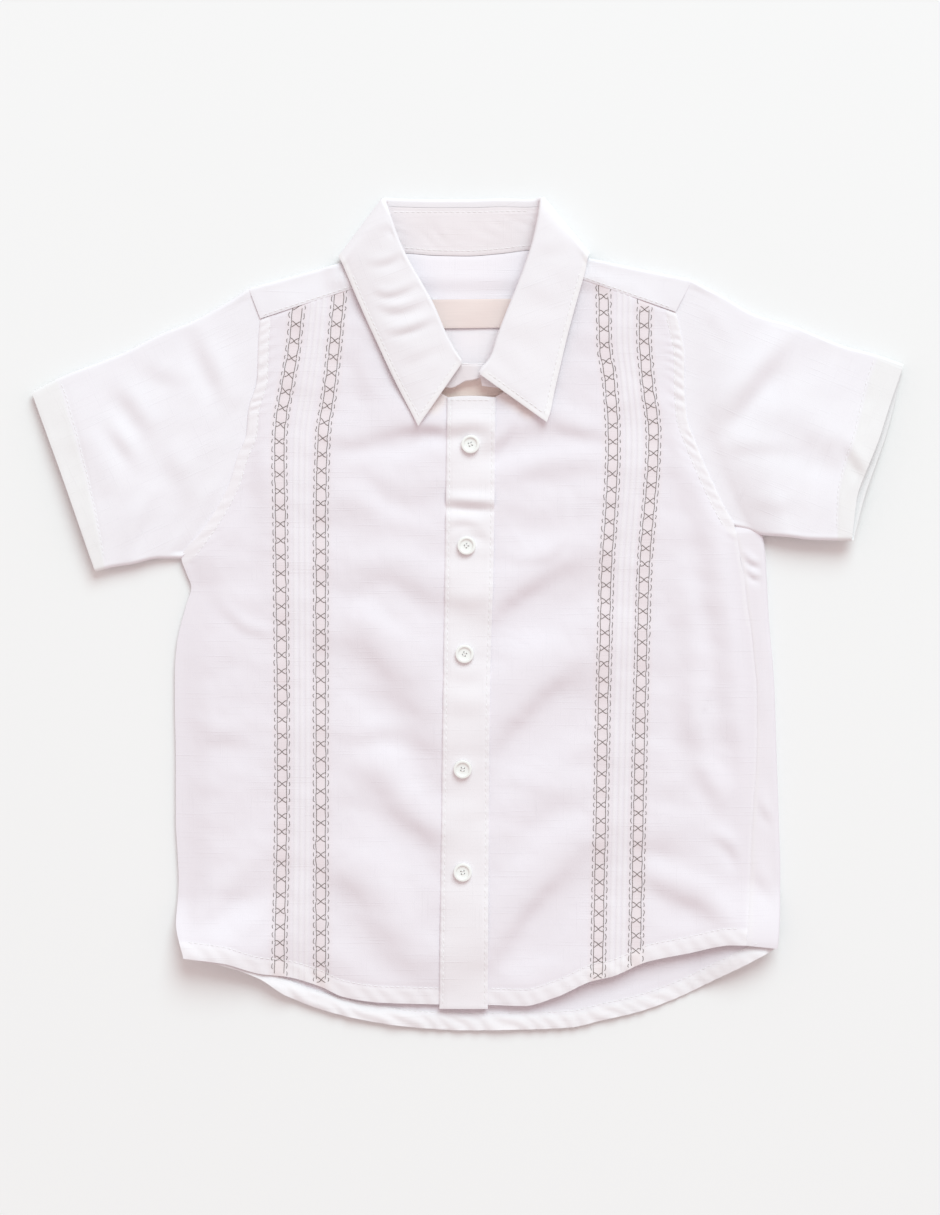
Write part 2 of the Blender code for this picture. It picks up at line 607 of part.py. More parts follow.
def make_yoke(material):
    """The yoke: flat across the back, folded over both shoulders to the front seams."""
    columns = yoke_columns()
    left_rows = [row for row in LEFT_ARMHOLE if row[1] > BACK_YOKE_Y]
    left_rows.insert(3, (-108.75, 130.75))
    right_rows = [row for row in RIGHT_ARMHOLE if row[1] > BACK_YOKE_Y]
    for edge_rows in (left_rows, right_rows):
        tip, below = plan(edge_rows[0]), plan(edge_rows[1])
        edge_rows[1:1] = [tuple(mix(below, tip, share))[:2] for share in (0.7, 0.4)]
    left_rows.append((read(swapped(LEFT_ARMHOLE), BACK_YOKE_Y), BACK_YOKE_Y))
    right_rows.append((read(swapped(RIGHT_ARMHOLE), BACK_YOKE_Y), BACK_YOKE_Y))
    rows = len(left_rows)
    points, quads, chains = [], [], []
    left_x, right_x = LEFT_ARMHOLE[0][0], RIGHT_ARMHOLE[0][0]
    for edge, front_seam in columns:
        chain = []
        across = (edge.x - left_x) / (right_x - left_x)
        inward = None
        if front_seam:
            inward = (front_seam - edge).normalized()
        radius = EDGE_RADIUS
        for row in range(rows - 1, -1, -1):
            left, right = plan(left_rows[row]), plan(right_rows[row])
            chord_top = mix(left_rows[0][1], right_rows[0][1], across)
            place = mix(left, right, across)
            rise = (place.y - BACK_YOKE_Y) / (chord_top - BACK_YOKE_Y)
            place.y += (edge.y - chord_top) * rise
            if row == 0 and inward:
                place = edge + inward * radius
            place.z = FLOOR_LAYER + LAYER * step_over_fall(place.x, place.y)
            chain.append(len(points))
            points.append(place)
        if front_seam:
            foot = points[chain[-1]].z
            for angle in TURN_ANGLES[1:]:
                turn = math.radians(angle)
                place = edge + inward * (radius - radius * math.cos(turn))
                place.z = foot + radius + radius * math.sin(turn)
                chain.append(len(points))
                points.append(place)
            top = points[chain[-1]]
            for share in (0.3, 0.65, 1):
                place = mix(plan(top), front_seam, share)
                place.z = mix(top.z, front_height(place.x, place.y), ease(share))
                chain.append(len(points))
                points.append(place)
        chains.append(chain)
    for before, after in zip(chains, chains[1:]):
        for index in range(min(len(before), len(after)) - 1):
            quads.append((before[index], before[index + 1], after[index + 1], after[index]))
    wall("yoke", points, quads, material)


def sleeve_lift(right, station, across):
    """How far the sleeve's lower layer stands off the surface."""
    if right:
        return 6.0 * ease(station / 0.4) * across ** 1.5 + 0.8 * ease((station - 0.5) / 0.5)
    return 2.4 * ease(station / 0.5) * across ** 1.5 + 0.8 * ease((station - 0.4) / 0.6)


def sleeve_layers(right, folds, station, across, place):
    """Heights of a sleeve's lower and upper layer, which meets the front's height at the seam."""
    low = FLOOR_LAYER + sleeve_lift(right, station, across)
    middle_share = math.sin(math.pi * across)
    high = low + 2 * EDGE_RADIUS + SLEEVE_PUFF * middle_share * ease(station / 0.3)
    high += fold_height(folds, place.x, place.y) * math.sqrt(max(0.0, middle_share))
    high = max(low + SLEEVE_LEAST, min(low + SLEEVE_MOST, high))
    if 0 < across < 1:
        high = mix(front_height(place.x, place.y), high, ease(station / 0.2))
    return low, high


def make_sleeve(name, material, right, armhole, top_edge, under_edge, cuffs, folds):
    """A sleeve as a flattened tube: rings from the armhole to the cuff, folded at both edges."""
    armhole = moved_aside(armhole, -SEAM_GAP if right else SEAM_GAP)
    top_edge = [armhole[0]] + top_edge[1:]
    under_edge = [armhole[-1]] + under_edge[1:]
    steps = shares(armhole)
    rings, radius = [], EDGE_RADIUS
    for station in SLEEVE_STATIONS:
        top, under = travel(top_edge, station), travel(under_edge, station)
        layers = []
        for cuff, upper in zip(cuffs, (True, False)):
            line = []
            for index, step in enumerate(steps):
                place = mix(plan(armhole[index]), travel(cuff, step), station)
                place += (top - mix(plan(top_edge[0]), plan(top_edge[-1]), station)) * (1 - step)
                place += (under - mix(plan(under_edge[0]), plan(under_edge[-1]), station)) * step
                line.append(place)
            near = (line[1] - line[0]).normalized()
            far = (line[-2] - line[-1]).normalized()
            bend = radius * (1 - math.cos(math.radians(45)))
            line = ([line[0] + near * bend, line[0] + near * radius] + line[1:-1]
                    + [line[-1] + far * radius, line[-1] + far * bend])
            ring_steps = [0, 0] + list(steps[1:-1]) + [1, 1]
            for index, (place, step) in enumerate(zip(line, ring_steps)):
                low, high = sleeve_layers(right, folds, station, step, place)
                middle, half = (low + high) / 2, (high - low) / 2
                if index in (0, len(line) - 1):
                    half *= math.sin(math.radians(45))
                place.z = middle + half if upper else middle - half
            layers.append(line)
        middle_top = (layers[0][1].z + layers[1][1].z) / 2
        middle_under = (layers[0][-2].z + layers[1][-2].z) / 2
        first = Vector((top.x, top.y, middle_top))
        last = Vector((under.x, under.y, middle_under))
        rings.append([first] + layers[0] + [last] + list(reversed(layers[1])))
    size = len(rings[0])
    points = [point for ring in rings for point in ring]
    quads, out = [], []
    for station, ring in zip(SLEEVE_STATIONS, rings):
        out += [HALF + (HEM_RISE if station > SLEEVE_HEM_STATION else 0)] * size
    for ring in range(len(rings) - 1):
        for index in range(size):
            after = (index + 1) % size
            near, far = ring * size, (ring + 1) * size
            quad = (near + index, near + after, far + after, far + index)
            quads.append(quad if right else tuple(reversed(quad)))
    wall(name, points, quads, material, out=out)


def collar_sections():
    """Sections once round the collar: seam, roll and free edge points and the turn, in even splits."""
    sections = []
    for row, after in zip(COLLAR, COLLAR[1:]):
        for split in range(COLLAR_SPLITS):
            share = split / COLLAR_SPLITS
            sections.append([mix(a, b, share) for a, b in zip(row, after)])
    sections.append(list(COLLAR[-1]))
    result = []
    for row in sections:
        result.append((Vector(row[0:3]), Vector(row[3:6]), Vector(row[6:9]), math.radians(row[9])))
    return result


def make_collar(material):
    """The stand, and the fall that rolls over its upper edge."""
    sections = collar_sections()
    stand, fall = [], []
    fall_points = len(TURN_ANGLES) + LEAF_POINTS
    for seam, roll, free, turn in sections:
        for index in range(STAND_POINTS):
            share = index / (STAND_POINTS - 1)
            place = mix(seam, roll, share)
            stand.append(place)
        rise = (roll - seam).normalized()
        level = Vector((rise.x, rise.y, 0)).normalized()
        outward = Vector((-level.y, level.x, 0))
        if outward.x * roll.x < 0:
            outward = -outward
        over = Vector((0, 0, 1)) * math.cos(turn) + outward * math.sin(turn)
        over = (over - rise * over.dot(rise)).normalized()
        reach = ROLL_REACH + BACK_ROLL_REACH * math.sin(turn / 2) ** 2
        fall.append(roll + rise * SEAM_GAP)
        centre = roll + rise * (SEAM_GAP + reach) + over * ROLL_RADIUS
        for angle in TURN_ANGLES:
            swing = math.radians(angle)
            fall.append(centre + (rise * math.cos(swing) + over * math.sin(swing)) * ROLL_RADIUS)
        start = fall[-1]
        for index in range(1, LEAF_POINTS):
            share = index / (LEAF_POINTS - 1)
            fall.append(mix(start, free, share))
    count = len(sections)
    wall("collar_stand", stand, grid_quads(count, STAND_POINTS), material)
    wall("collar_fall", fall, grid_quads(count, fall_points), material)


def make_label(material):
    """The blank label, flat on the inside of the back yoke."""
    width, height = LABEL_SIZE
    columns, rows = 5, 3
    points = []
    for row in range(rows):
        for column in range(columns):
            x = LABEL_CENTRE[0] + width * (column / (columns - 1) - 0.5)
            y = LABEL_CENTRE[1] + height * (0.5 - row / (rows - 1))
            points.append(Vector((x, y, FLOOR_LAYER + LAYER)))
    wall("neck_label", points, grid_quads(rows, columns), material)


def main():
    """Clears the scene and makes the shirt."""
    for old in list(bpy.data.objects):
        bpy.data.objects.remove(old)
    cotton = make_material("white_cotton", (0.86, 0.86, 0.88), 0.9)
    pearl = make_material("pearl_button", (0.88, 0.87, 0.85), 0.25)
    blush = make_material("label_tape", (0.84, 0.74, 0.70), 0.7)
    make_back(cotton)
    make_yoke(cotton)
    make_fronts(cotton)
    make_placket(cotton)
    make_sleeve("sleeve_left", cotton, False, LEFT_ARMHOLE, LEFT_SLEEVE_TOP, LEFT_SLEEVE_UNDER,
                (LEFT_CUFF, LEFT_CUFF), LEFT_SLEEVE_FOLDS)
    make_sleeve("sleeve_right", cotton, True, RIGHT_ARMHOLE, RIGHT_SLEEVE_TOP, RIGHT_SLEEVE_UNDER,
                (RIGHT_CUFF_FRONT, RIGHT_CUFF_BACK), RIGHT_SLEEVE_FOLDS)
    make_collar(cotton)
    make_label(blush)
    make_buttons(pearl)


main()
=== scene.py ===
"""A small child's white short-sleeve shirt, laid flat with its front up and its collar towards +Y.

Tables are in millimetres and meshes in metres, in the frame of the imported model. Left and
right are as seen from above with the collar away from the viewer.
"""
import math

import bmesh
import bpy
import numpy as np
from bpy.props import FloatProperty, FloatVectorProperty, IntProperty, PointerProperty
from mathutils import Matrix, Vector
from mathutils.bvhtree import BVHTree


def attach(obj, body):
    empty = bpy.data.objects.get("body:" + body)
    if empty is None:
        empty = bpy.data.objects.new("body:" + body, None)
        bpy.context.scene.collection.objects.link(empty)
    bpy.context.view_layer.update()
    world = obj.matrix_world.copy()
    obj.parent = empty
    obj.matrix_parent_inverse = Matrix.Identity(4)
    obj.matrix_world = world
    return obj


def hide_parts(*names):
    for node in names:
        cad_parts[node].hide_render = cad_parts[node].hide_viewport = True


bl_info = {
    "name": "Short-sleeve shirt",
    "version": (1, 0, 0),
    "blender": (4, 5, 0),
    "location": "3D View > Sidebar > Shirt",
    "description": "A white short-sleeve shirt with embroidered ladders, laid flat",
    "category": "Add Mesh",
}

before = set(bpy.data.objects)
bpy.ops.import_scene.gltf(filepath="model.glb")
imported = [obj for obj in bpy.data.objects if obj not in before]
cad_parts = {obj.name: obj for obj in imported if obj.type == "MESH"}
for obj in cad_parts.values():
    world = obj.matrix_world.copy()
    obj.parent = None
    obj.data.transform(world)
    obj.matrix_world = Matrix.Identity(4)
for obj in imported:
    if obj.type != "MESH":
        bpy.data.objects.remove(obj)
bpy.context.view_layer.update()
MM = 0.001
BODY = "root"

# Layers of the laid shirt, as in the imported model
LAYER = 1.3
FLOOR_LAYER = 0.5
FRONT_REST = 1.8
EDGE_RADIUS = 1.6
INNER_AIR = 2.5
LEAST_AIR = 0.15
FOLD_AIR = 1.2
SIDE_EASE = 20
HEM_EASE = 25

# Armhole seams, from the shoulder edge down to the underarm: x, y
LEFT_ARMHOLE = [
    (-113.5, 168.5), (-107.5, 153), (-108.5, 139.5), (-109, 122), (-113.5, 106), (-114.5, 94),
    (-119.5, 81), (-123, 69), (-130.5, 54), (-138.5, 42), (-148.5, 29)]
RIGHT_ARMHOLE = [
    (116.5, 173), (108, 156.5), (110, 148), (112.5, 134), (112.5, 120), (113.5, 103),
    (118.5, 88), (124.5, 73.5), (131.5, 58.5), (135, 52), (138.5, 45.5)]

# Side edges below the underarm: x, y
LEFT_SIDE = [
    (-143.5, 13.5), (-146, 4.5), (-151, -16.5), (-152, -32), (-152, -47.5), (-151.7, -62),
    (-151.5, -76), (-151.5, -91.5), (-151.5, -107.5), (-150.7, -123), (-150, -138.5),
    (-151, -159.5), (-146.5, -177.5)]
RIGHT_SEAM = [
    (143.5, 17.5), (145, 4), (147, -8.5), (148.5, -24), (150, -40), (150, -60.5), (149.5, -80),
    (148, -99.5), (147, -116), (146.5, -132), (145.5, -148), (144.8, -158), (144, -171.5)]
RIGHT_OUTLINE = [
    (155, 17.5), (155.7, 4), (156.5, -8.5), (158, -24), (159, -40), (159.7, -60.5), (160.3, -80),
    (161, -99.5), (161.5, -116), (162, -132), (161.8, -148), (161.4, -157), (160, -173)]
LEFT_UNDERARM = (-146, 21)
RIGHT_UNDERARM = (141, 31.5)
BACK_UNDERARM = (154, 34)
TURN_START = (147.5, 47)
TURN_MIDDLE = (152.5, 41)
TURN_SEAM = (136.5, 47)
TURN_TOP = 55

# Yoke: shoulder edges, front seams, the neckline at the back and the seam across the back
BACK_YOKE_Y = 111
LEFT_NECK_POINT = (-57, 184)
RIGHT_NECK_POINT = (56, 185.5)
LEFT_YOKE_SEAM = [(-107.5, 153), (-52, 171)]
RIGHT_YOKE_SEAM = [(51.5, 176), (108, 156.5)]
BACK_NECK = [
    (-45, 185.5), (-33.5, 187), (-17, 185.8), (0, 185.5), (17, 186.7), (33, 188.5), (45, 187.3)]

# Necklines of the two fronts, and the hems: x, y
LEFT_NECKLINE = [(-49.5, 163), (-42, 149), (-35, 137), (-25, 125), (-14.5, 115), (-9, 111.5)]
RIGHT_NECKLINE = [(13, 111.5), (18.5, 115), (29, 125), (38, 137), (45, 149), (49.5, 163)]
LEFT_HEM = [
    (-151, -177.5), (-146.5, -178), (-126.5, -180.5), (-107, -186.5), (-93.5, -188.5),
    (-75.5, -194), (-64.5, -199), (-44.5, -202), (-9, -203)]
RIGHT_HEM = [
    (9, -203), (29, -203.5), (46.5, -198.5), (64, -190.5), (75, -188), (93, -180.5),
    (115, -176), (137.5, -171.5), (145, -171.5)]
BACK_HEM = [
    (-151, -177.5), (-146.5, -178), (-126, -182), (-108, -189), (-93.5, -198.5), (-71, -207),
    (-49, -212), (-27, -215), (0, -216.5), (31, -216), (53, -215), (71, -211), (88.5, -207),
    (110.5, -199), (133, -187.5), (160, -173)]
HEM_BAND = 8.5

# Centre lines of the two embroidered ladders on each front: y, x
LEFT_OUTER_LADDER = [(-184, -97.5), (-84, -96), (48, -97), (88, -97.5), (140, -90), (160, -88)]
LEFT_INNER_LADDER = [(-195, -76), (48, -76), (91, -75), (116, -71.5), (165, -66.5)]
RIGHT_INNER_LADDER = [(-188, 67.5), (18, 72), (88, 75.5), (119, 74), (140, 71), (169, 70.5)]
RIGHT_OUTER_LADDER = [(-184, 87), (18, 91.5), (93, 96.5), (119, 93.5), (146, 91.5), (163, 92)]

# Placket down the middle: y, left edge, right edge. Then how far it laps over the fronts, its
# rows of points, and the distance from its edges to its stitching.
PLACKET = [(-204.5, -14.5, 10.5), (-45, -12.5, 11.5), (28, -11.5, 13.5), (111.5, -10.5, 14.5)]
PLACKET_TOP = 112
PLACKET_FOOT = -205
LAP = 3.0
STRIP_ROWS = 330
PLACKET_ROW = 1.7

# Buttons down the placket, top to bottom: x, y
BUTTONS = [(1.5, 87.5), (-0.5, 35), (-1.5, -21), (-2.5, -80.5), (-2.5, -134)]

# Folds of the fronts: start, middle and end in plan, width, and height of its ridge
BODY_FOLDS = [
    ((-70.5, 89.4), (-35, 95.4), (-8, 91.4), 6, 1.9), ((-65, 19.4), (-35, 17.4), (-8, 0), 10, 2.1),
    ((-70.5, -16), (-39.5, -31.5), (-9, -84), 12, 3.2), ((-67.5, -68.7), (-39, -61), (-14, -78), 6, 1.0),
    ((-60, -88.7), (-35, -102), (-8, -131), 9, 2.3), ((-69, -136.5), (-50, -157.5), (-26, -193), 10, 2.4),
    ((-74.5, 50.7), (-56, 48.6), (-20, 39), 8, 0.9), ((8, 91), (40, 96), (68, 94.4), 6, 1.7),
    ((12, 76), (20, 94.4), (31, 110), 3.5, 1.1), ((10, -18), (28, 9), (69, 26), 10, 3.9),
    ((10, -87), (31, -49), (69, -29), 12, 4.8), ((17, 31), (46, 30), (55, 57), 3.0, 0.6),
    ((10, -182), (36, -151), (70, -117), 11, 4.4), ((99, 95), (110, 84), (106, 60), 8, 1.2),
    ((118, 70), (131, -1), (145, -126), 7, 1.6), ((93, -118), (102, -118.5), (113, -120), 5, 0.9),
    ((94.5, -136), (115, -151), (140, -169), 7, 1.7), ((127, -115), (137, -122), (145, -128), 4, 0.9),
    ((-130, 8), (-116, -5.5), (-101, -14), 3, 0.4), ((-139, -162), (-122, -149), (-102, -132), 7, 1.6),
    ((-119, -166), (-110, -159.5), (-101, -149), 5, 0.9), ((-118, 111), (-108, 57), (-103.5, 7), 9, 1.0),
    ((-66, -40), (-52, -38), (-36, -44), 5, 0.6), ((-52, 74), (-30, 62), (-12, 66), 6, 0.7),
    ((24, 66), (38, 74), (60, 72), 6, 0.8), ((-140, -60), (-125, -70), (-108, -66), 7, 0.6),
    ((104, 20), (112, -30), (110, -80), 8, 0.8), ((20, -118), (40, -100), (62, -96), 7, 1.0),
    ((-60, 130), (-52, 118), (-46, 104), 5, 0.7), ((-135, 90), (-125, 84), (-112, 86), 5, 0.5),
    ((112, -60), (124, -90), (134, -100), 6, 0.9), ((100, -30), (118, -60), (128, -62), 7, 0.8),
    ((-40, 93), (-26, 94), (-13, 90), 4.5, 1.6), ((18, 44), (30, 50), (50, 46), 6, 0.6),
    ((-64, 10), (-40, 2), (-16, -22), 7, 0.9)]
UNDERARM_FOLDS = [
    ((142, 31), (148, 26), (155, 26), 1.7, 1.0), ((143, 24), (149, 19), (155, 20), 1.6, 0.9),
    ((150, -96), (155, -104), (161, -108), 3, 0.5), ((146, -130), (152, -140), (161, -146), 4, 0.5)]
PLACKET_FOLDS = [
    ((-14, 57.5), (1, 56.5), (16, 56), 2.8, 1.7), ((-10, 92), (2, 96), (14, 93), 4, 0.8),
    ((-11, 44), (-2, 47), (8, 43), 2.5, 0.5), ((-6, 38), (4, 41), (12, 37), 2.5, 0.4),
    ((-12, 8), (0, 4), (12, 8), 5, 0.5), ((-12, -30), (0, -33), (11, -28), 4, 0.4),
    ((-12, -48), (0, -50), (12, -46), 5, 0.35), ((-12, -104), (-1, -107), (12, -103), 5, 0.3)]

# Air under the front's edges: along the left and right edges by y, along the hem by x
LEFT_EDGE_AIR = [(-178, 0.4), (10, 0.3), (29, 1.0), (42, 1.9), (170, 1.9)]
RIGHT_EDGE_AIR = [(-172, 2.5), (20, 2.5), (45, 2.2), (170, 1.9)]
HEM_AIR = [
    (-150, 0.4), (-95, 0.8), (-60, 1.6), (0, 2.0), (30, 3.2), (60, 5.6), (85, 4.6),
    (120, 4.2), (145, 2.5)]

# Sleeve edges in plan, from the armhole to the cuff, and the cuff lines: x, y
LEFT_SLEEVE_TOP = [
    (-113.5, 168.5), (-126.5, 160), (-143.5, 151), (-157.5, 145.5), (-177.5, 135.5),
    (-192.5, 129.5), (-209.5, 123), (-226, 114.5)]
LEFT_SLEEVE_UNDER = [(-148.5, 29), (-160, 29), (-174, 26), (-183.5, 24.5), (-193, 22)]
LEFT_CUFF = [(-226, 114.5), (-209, 68), (-193, 22)]
RIGHT_SLEEVE_TOP = [
    (116.5, 173), (134, 163.5), (149, 155), (170.5, 148.5), (182.5, 143.5), (198.5, 137.5),
    (208.5, 135), (226.2, 129)]
RIGHT_SLEEVE_UNDER = [
    (138.5, 45.5), (145.5, 44), (153.5, 41), (165.5, 40), (177.5, 38.5), (198.5, 38)]
RIGHT_CUFF_FRONT = [
    (226.2, 129), (218.5, 107), (212.5, 89), (205.5, 72), (201.5, 60.5), (198.5, 38)]
RIGHT_CUFF_BACK = [
    (226.2, 129), (221.6, 108), (216.4, 90), (210.2, 73), (205.8, 60.5), (199.8, 38)]
SLEEVE_PUFF = 1.5
SLEEVE_LEAST = 1.5
SLEEVE_MOST = 7.5
LEFT_SLEEVE_FOLDS = [
    ((-143, 151), (-136, 132), (-127, 112), 5, 1.5), ((-183, 117), (-174, 106), (-166, 93), 5, 1.4),
    ((-174, 27), (-170, 44), (-162, 60), 4, 1.2), ((-186, 97), (-180, 88), (-173, 77), 4, 0.9),
    ((-150, 30), (-140, 50), (-131, 74), 6, -1.3), ((-205, 100), (-196, 78), (-186, 58), 7, 0.7),
    ((-160, 84), (-150, 70), (-146, 52), 6, 0.8), ((-170, 132), (-160, 124), (-150, 122), 5, 0.8)]
RIGHT_SLEEVE_FOLDS = [
    ((172, 147), (153, 123.5), (131, 97), 6.5, 3.2), ((184, 145), (176, 133), (168, 120), 5, 0.9),
    ((132, 84), (150, 85), (172, 84), 4, 0.5), ((158, 97), (182, 88), (204, 70), 9, 1.3),
    ((196, 87), (201, 78), (206, 69), 3, 0.8), ((193, 132), (185, 100), (176, 58), 3, 0.4),
    ((146, 60), (157, 54), (168, 57), 5, 0.8), ((120, 158), (128, 150), (134, 140), 4, 0.5)]

# Collar, once round from the left front end to the right one. The stand runs from the neck
# seam up to the roll; the fall runs from the roll to its free edge. Turn is 0 where the fall
# lies over the stand, 180 where it lies under it.
# seam x, y, z, roll x, y, z, free edge x, y, z, turn
COLLAR = [
    (-1.0, 120.5, 6.0, -3.0, 129.5, 7.2, -25.5, 97.0, 8.2, 0),
    (-9.0, 117.0, 5.6, -6.9, 134.5, 7.6, -28.5, 103.0, 8.4, 0),
    (-21.0, 122.5, 5.2, -12.5, 144.5, 8.0, -33.5, 112.5, 8.6, 0),
    (-33.0, 136.8, 5.0, -18.5, 158.0, 8.4, -40.0, 125.5, 8.8, 0),
    (-41.5, 149.8, 5.0, -25.1, 170.0, 8.6, -46.0, 138.5, 9.0, 0),
    (-48.5, 163.5, 5.2, -32.0, 182.0, 8.8, -52.0, 151.5, 9.0, 0),
    (-51.6, 172.0, 5.4, -37.0, 193.0, 9.0, -57.5, 164.0, 9.2, 0),
    (-54.8, 180.6, 5.2, -40.5, 203.5, 9.0, -62.8, 176.5, 9.0, 8),
    (-55.6, 183.4, 4.6, -42.0, 208.5, 8.4, -65.0, 181.5, 8.0, 40),
    (-55.4, 184.9, 3.4, -43.3, 211.0, 6.6, -66.6, 184.8, 4.4, 90),
    (-54.0, 185.6, 2.4, -42.8, 211.4, 5.0, -66.2, 184.2, 1.5, 140),
    (-45.0, 185.8, 1.9, -40.0, 211.2, 3.9, -63.0, 179.0, 0.5, 175),
    (-33.5, 187.3, 1.8, -31.0, 210.8, 3.6, -42.0, 176.5, 0.5, 180),
    (-17.0, 186.1, 1.8, -16.5, 210.5, 3.6, -22.0, 176.0, 0.5, 180),
    (0.0, 185.8, 1.8, 0.0, 210.5, 3.6, 0.0, 176.0, 0.5, 180),
    (17.0, 187.0, 1.8, 16.5, 211.0, 3.6, 22.0, 176.2, 0.5, 180),
    (33.0, 188.8, 1.8, 30.0, 210.8, 3.6, 44.0, 176.8, 0.5, 180),
    (45.0, 187.6, 1.9, 35.5, 211.0, 3.9, 61.0, 184.0, 0.5, 175),
    (53.0, 187.2, 2.4, 38.3, 211.8, 5.0, 62.7, 186.8, 1.3, 140),
    (54.6, 186.4, 3.4, 38.8, 211.9, 6.6, 63.0, 187.0, 4.4, 90),
    (54.3, 184.4, 4.6, 38.2, 209.9, 8.4, 62.2, 184.0, 8.0, 40),
    (53.0, 181.0, 5.2, 37.5, 204.5, 9.0, 61.2, 178.5, 9.0, 8),
    (50.0, 172.5, 5.4, 35.2, 192.5, 9.0, 58.0, 167.0, 9.2, 0),
    (48.0, 163.4, 5.2, 31.2, 179.5, 8.8, 54.5, 154.5, 9.0, 0),
    (43.4, 150.0, 5.0, 26.3, 166.5, 8.6, 51.0, 141.0, 9.0, 0),
    (36.3, 138.2, 5.0, 21.0, 153.5, 8.4, 48.0, 128.0, 8.8, 0),
    (27.6, 126.2, 5.2, 16.3, 141.5, 8.0, 45.0, 115.0, 8.6, 0),
    (17.5, 117.0, 5.6, 12.7, 131.5, 7.6, 43.0, 105.0, 8.4, 0),
    (7.5, 118.0, 6.0, 6.5, 124.0, 7.2, 41.0, 99.0, 8.2, 0)]
# The stand's end where it crosses under the other one at the neck: seam x, y, z, roll x, y, z
CROSSING = [
    (8.5, 123.0, 4.6, 9.0, 129.5, 5.2), (5.5, 121.8, 5.2, 6.5, 129.6, 6.0),
    (2.5, 121.0, 5.7, 4.0, 129.2, 6.8)]
# Points between two rows of the collar's table, up the stand and down the leaf
BETWEEN_ROWS = 9
STAND_STEPS = 30
LEAF_STEPS = 44
ROLL_RADIUS = 1.25
ROLL_REACH = 0.1
BACK_ROLL_REACH = 2.2
LEAF_ROW = 3.0
LEAF_FOLDS = [
    ((-50, 181), (-41, 182), (-34, 187), 2.2, 0.6), ((-47, 166), (-38, 165), (-26, 171), 2.0, 0.7),
    ((-44, 158), (-34, 157), (-22, 162), 2.4, 0.8), ((-40, 145), (-30, 147), (-18, 152), 2.0, 0.9),
    ((-36, 128), (-24, 134), (-14, 138), 3, 0.35), ((-44, 196), (-41, 199), (-38, 200), 3, 0.5),
    ((28, 170), (38, 163), (50, 164), 6, 0.35), ((20, 142), (30, 146), (42, 144), 6, 0.3),
    ((36, 192), (42, 188), (50, 190), 4, 0.3)]

# Where the collar's fall lies under the yoke, the layers over it step up
FALL_FREE_Y = 166
FALL_HALF_WIDTH = 77
STEP_WIDTH = 9

# Neck label inside the back yoke
LABEL_CENTRE = (3.2, 155.8)
LABEL_SIZE = (44, 15)


def length(name, description, millimetres):
    """A length in the panel."""
    return FloatProperty(name=name, description=description, default=millimetres * MM,
                         min=0.1 * MM, unit="LENGTH", subtype="DISTANCE")


def tone(name, description, *colour):
    """A colour in the panel."""
    return FloatVectorProperty(name=name, description=description, default=colour, size=3,
                               min=0, max=1, subtype="COLOR")


class ShirtSizes(bpy.types.PropertyGroup):
    """Sizes of the cloth, the sewing and the buttons."""

    cloth: length("Cloth", "Thickness of one laid layer of cloth", 0.9)
    collar_cloth: length("Collar cloth", "Thickness of the collar with its lining", 1.1)
    tuck_spacing: length("Tuck spacing", "Distance between two pintucks", 3.0)
    tuck_height: length("Tuck height", "How far a pintuck stands proud", 0.22)
    tucks: IntProperty(name="Tucks", description="Pintucks in each strip", default=3, min=0)
    stitch: length("Stitch", "Length of one topstitch", 2.2)
    stitch_gap: length("Stitch gap", "Distance between two topstitches", 0.7)
    sewing_thread: length("Sewing thread", "Width of the sewing thread", 0.32)
    embroidery_thread: length("Embroidery thread", "Width of the embroidery thread", 0.33)
    button_radius: length("Button radius", "Radius of a button", 4.75)
    button_height: length("Button height", "Thickness of a button at its rim", 2.2)


class ShirtColours(bpy.types.PropertyGroup):
    """Colours of the cloth, thread, buttons and label."""

    body_cloth: tone("Body cloth", "The sheer cloth of the body", 0.838, 0.784, 0.830)
    doubled_cloth: tone(
        "Doubled cloth", "The cloth of the body where it lies double", 0.878, 0.835, 0.858)
    firm_cloth: tone(
        "Firm cloth", "The lined cloth of the collar, placket and yoke", 0.868, 0.822, 0.850)
    sleeve_cloth: tone("Sleeve cloth", "The cloth of the sleeves", 0.868, 0.831, 0.870)
    # Painted light: the yoke inside the collar is drawn lighter than the sleeve cloth, for light that
    # reaches it there
    yoke_inside_painted_light: tone(
        "Inside of the yoke", "The yoke where it shows inside the collar", 0.906, 0.857, 0.903)
    sleeve_hem: tone(
        "Sleeve hem", "The cloth of the sleeves where it lies double", 0.852, 0.827, 0.835)
    collar_cloth: tone("Collar cloth", "The collar's upper side", 0.878, 0.840, 0.871)
    collar_edge: tone("Collar edge", "The collar's edge outside its stitching", 0.905, 0.872, 0.872)
    sewing_thread: tone("Sewing thread", "Thread of the topstitching", 0.93, 0.90, 0.90)
    embroidery_thread: tone("Embroidery thread", "Thread of the ladders", 0.21, 0.17, 0.16)
    pearl: tone("Pearl", "Buttons", 0.83, 0.775, 0.75)
    label: tone("Label", "Label tape", 0.835, 0.705, 0.675)
    floor: tone("Floor", "The floor under the shirt", 0.877, 0.866, 0.866)


def sizes():
    """The sizes that a user can change."""
    return bpy.context.scene.shirt_sizes


def colours():
    """The colours that a user can change."""
    return bpy.context.scene.shirt_colours


# Reading tables and lines

def ease(value):
    """Runs smoothly from 0 to 1 as the value does."""
    value = np.clip(value, 0, 1)
    return value * value * (3 - 2 * value)


def mix(start, end, share):
    """The value or point at a share of the way from start to end."""
    return start + (end - start) * share


def bell(value, width):
    """A bell curve: 1 at 0, and near 0 past twice the width."""
    return np.exp(-(value / width) ** 2)


def swapped(rows):
    """The same points with y first, to be read by their y."""
    return [(y, x) for x, y in rows]


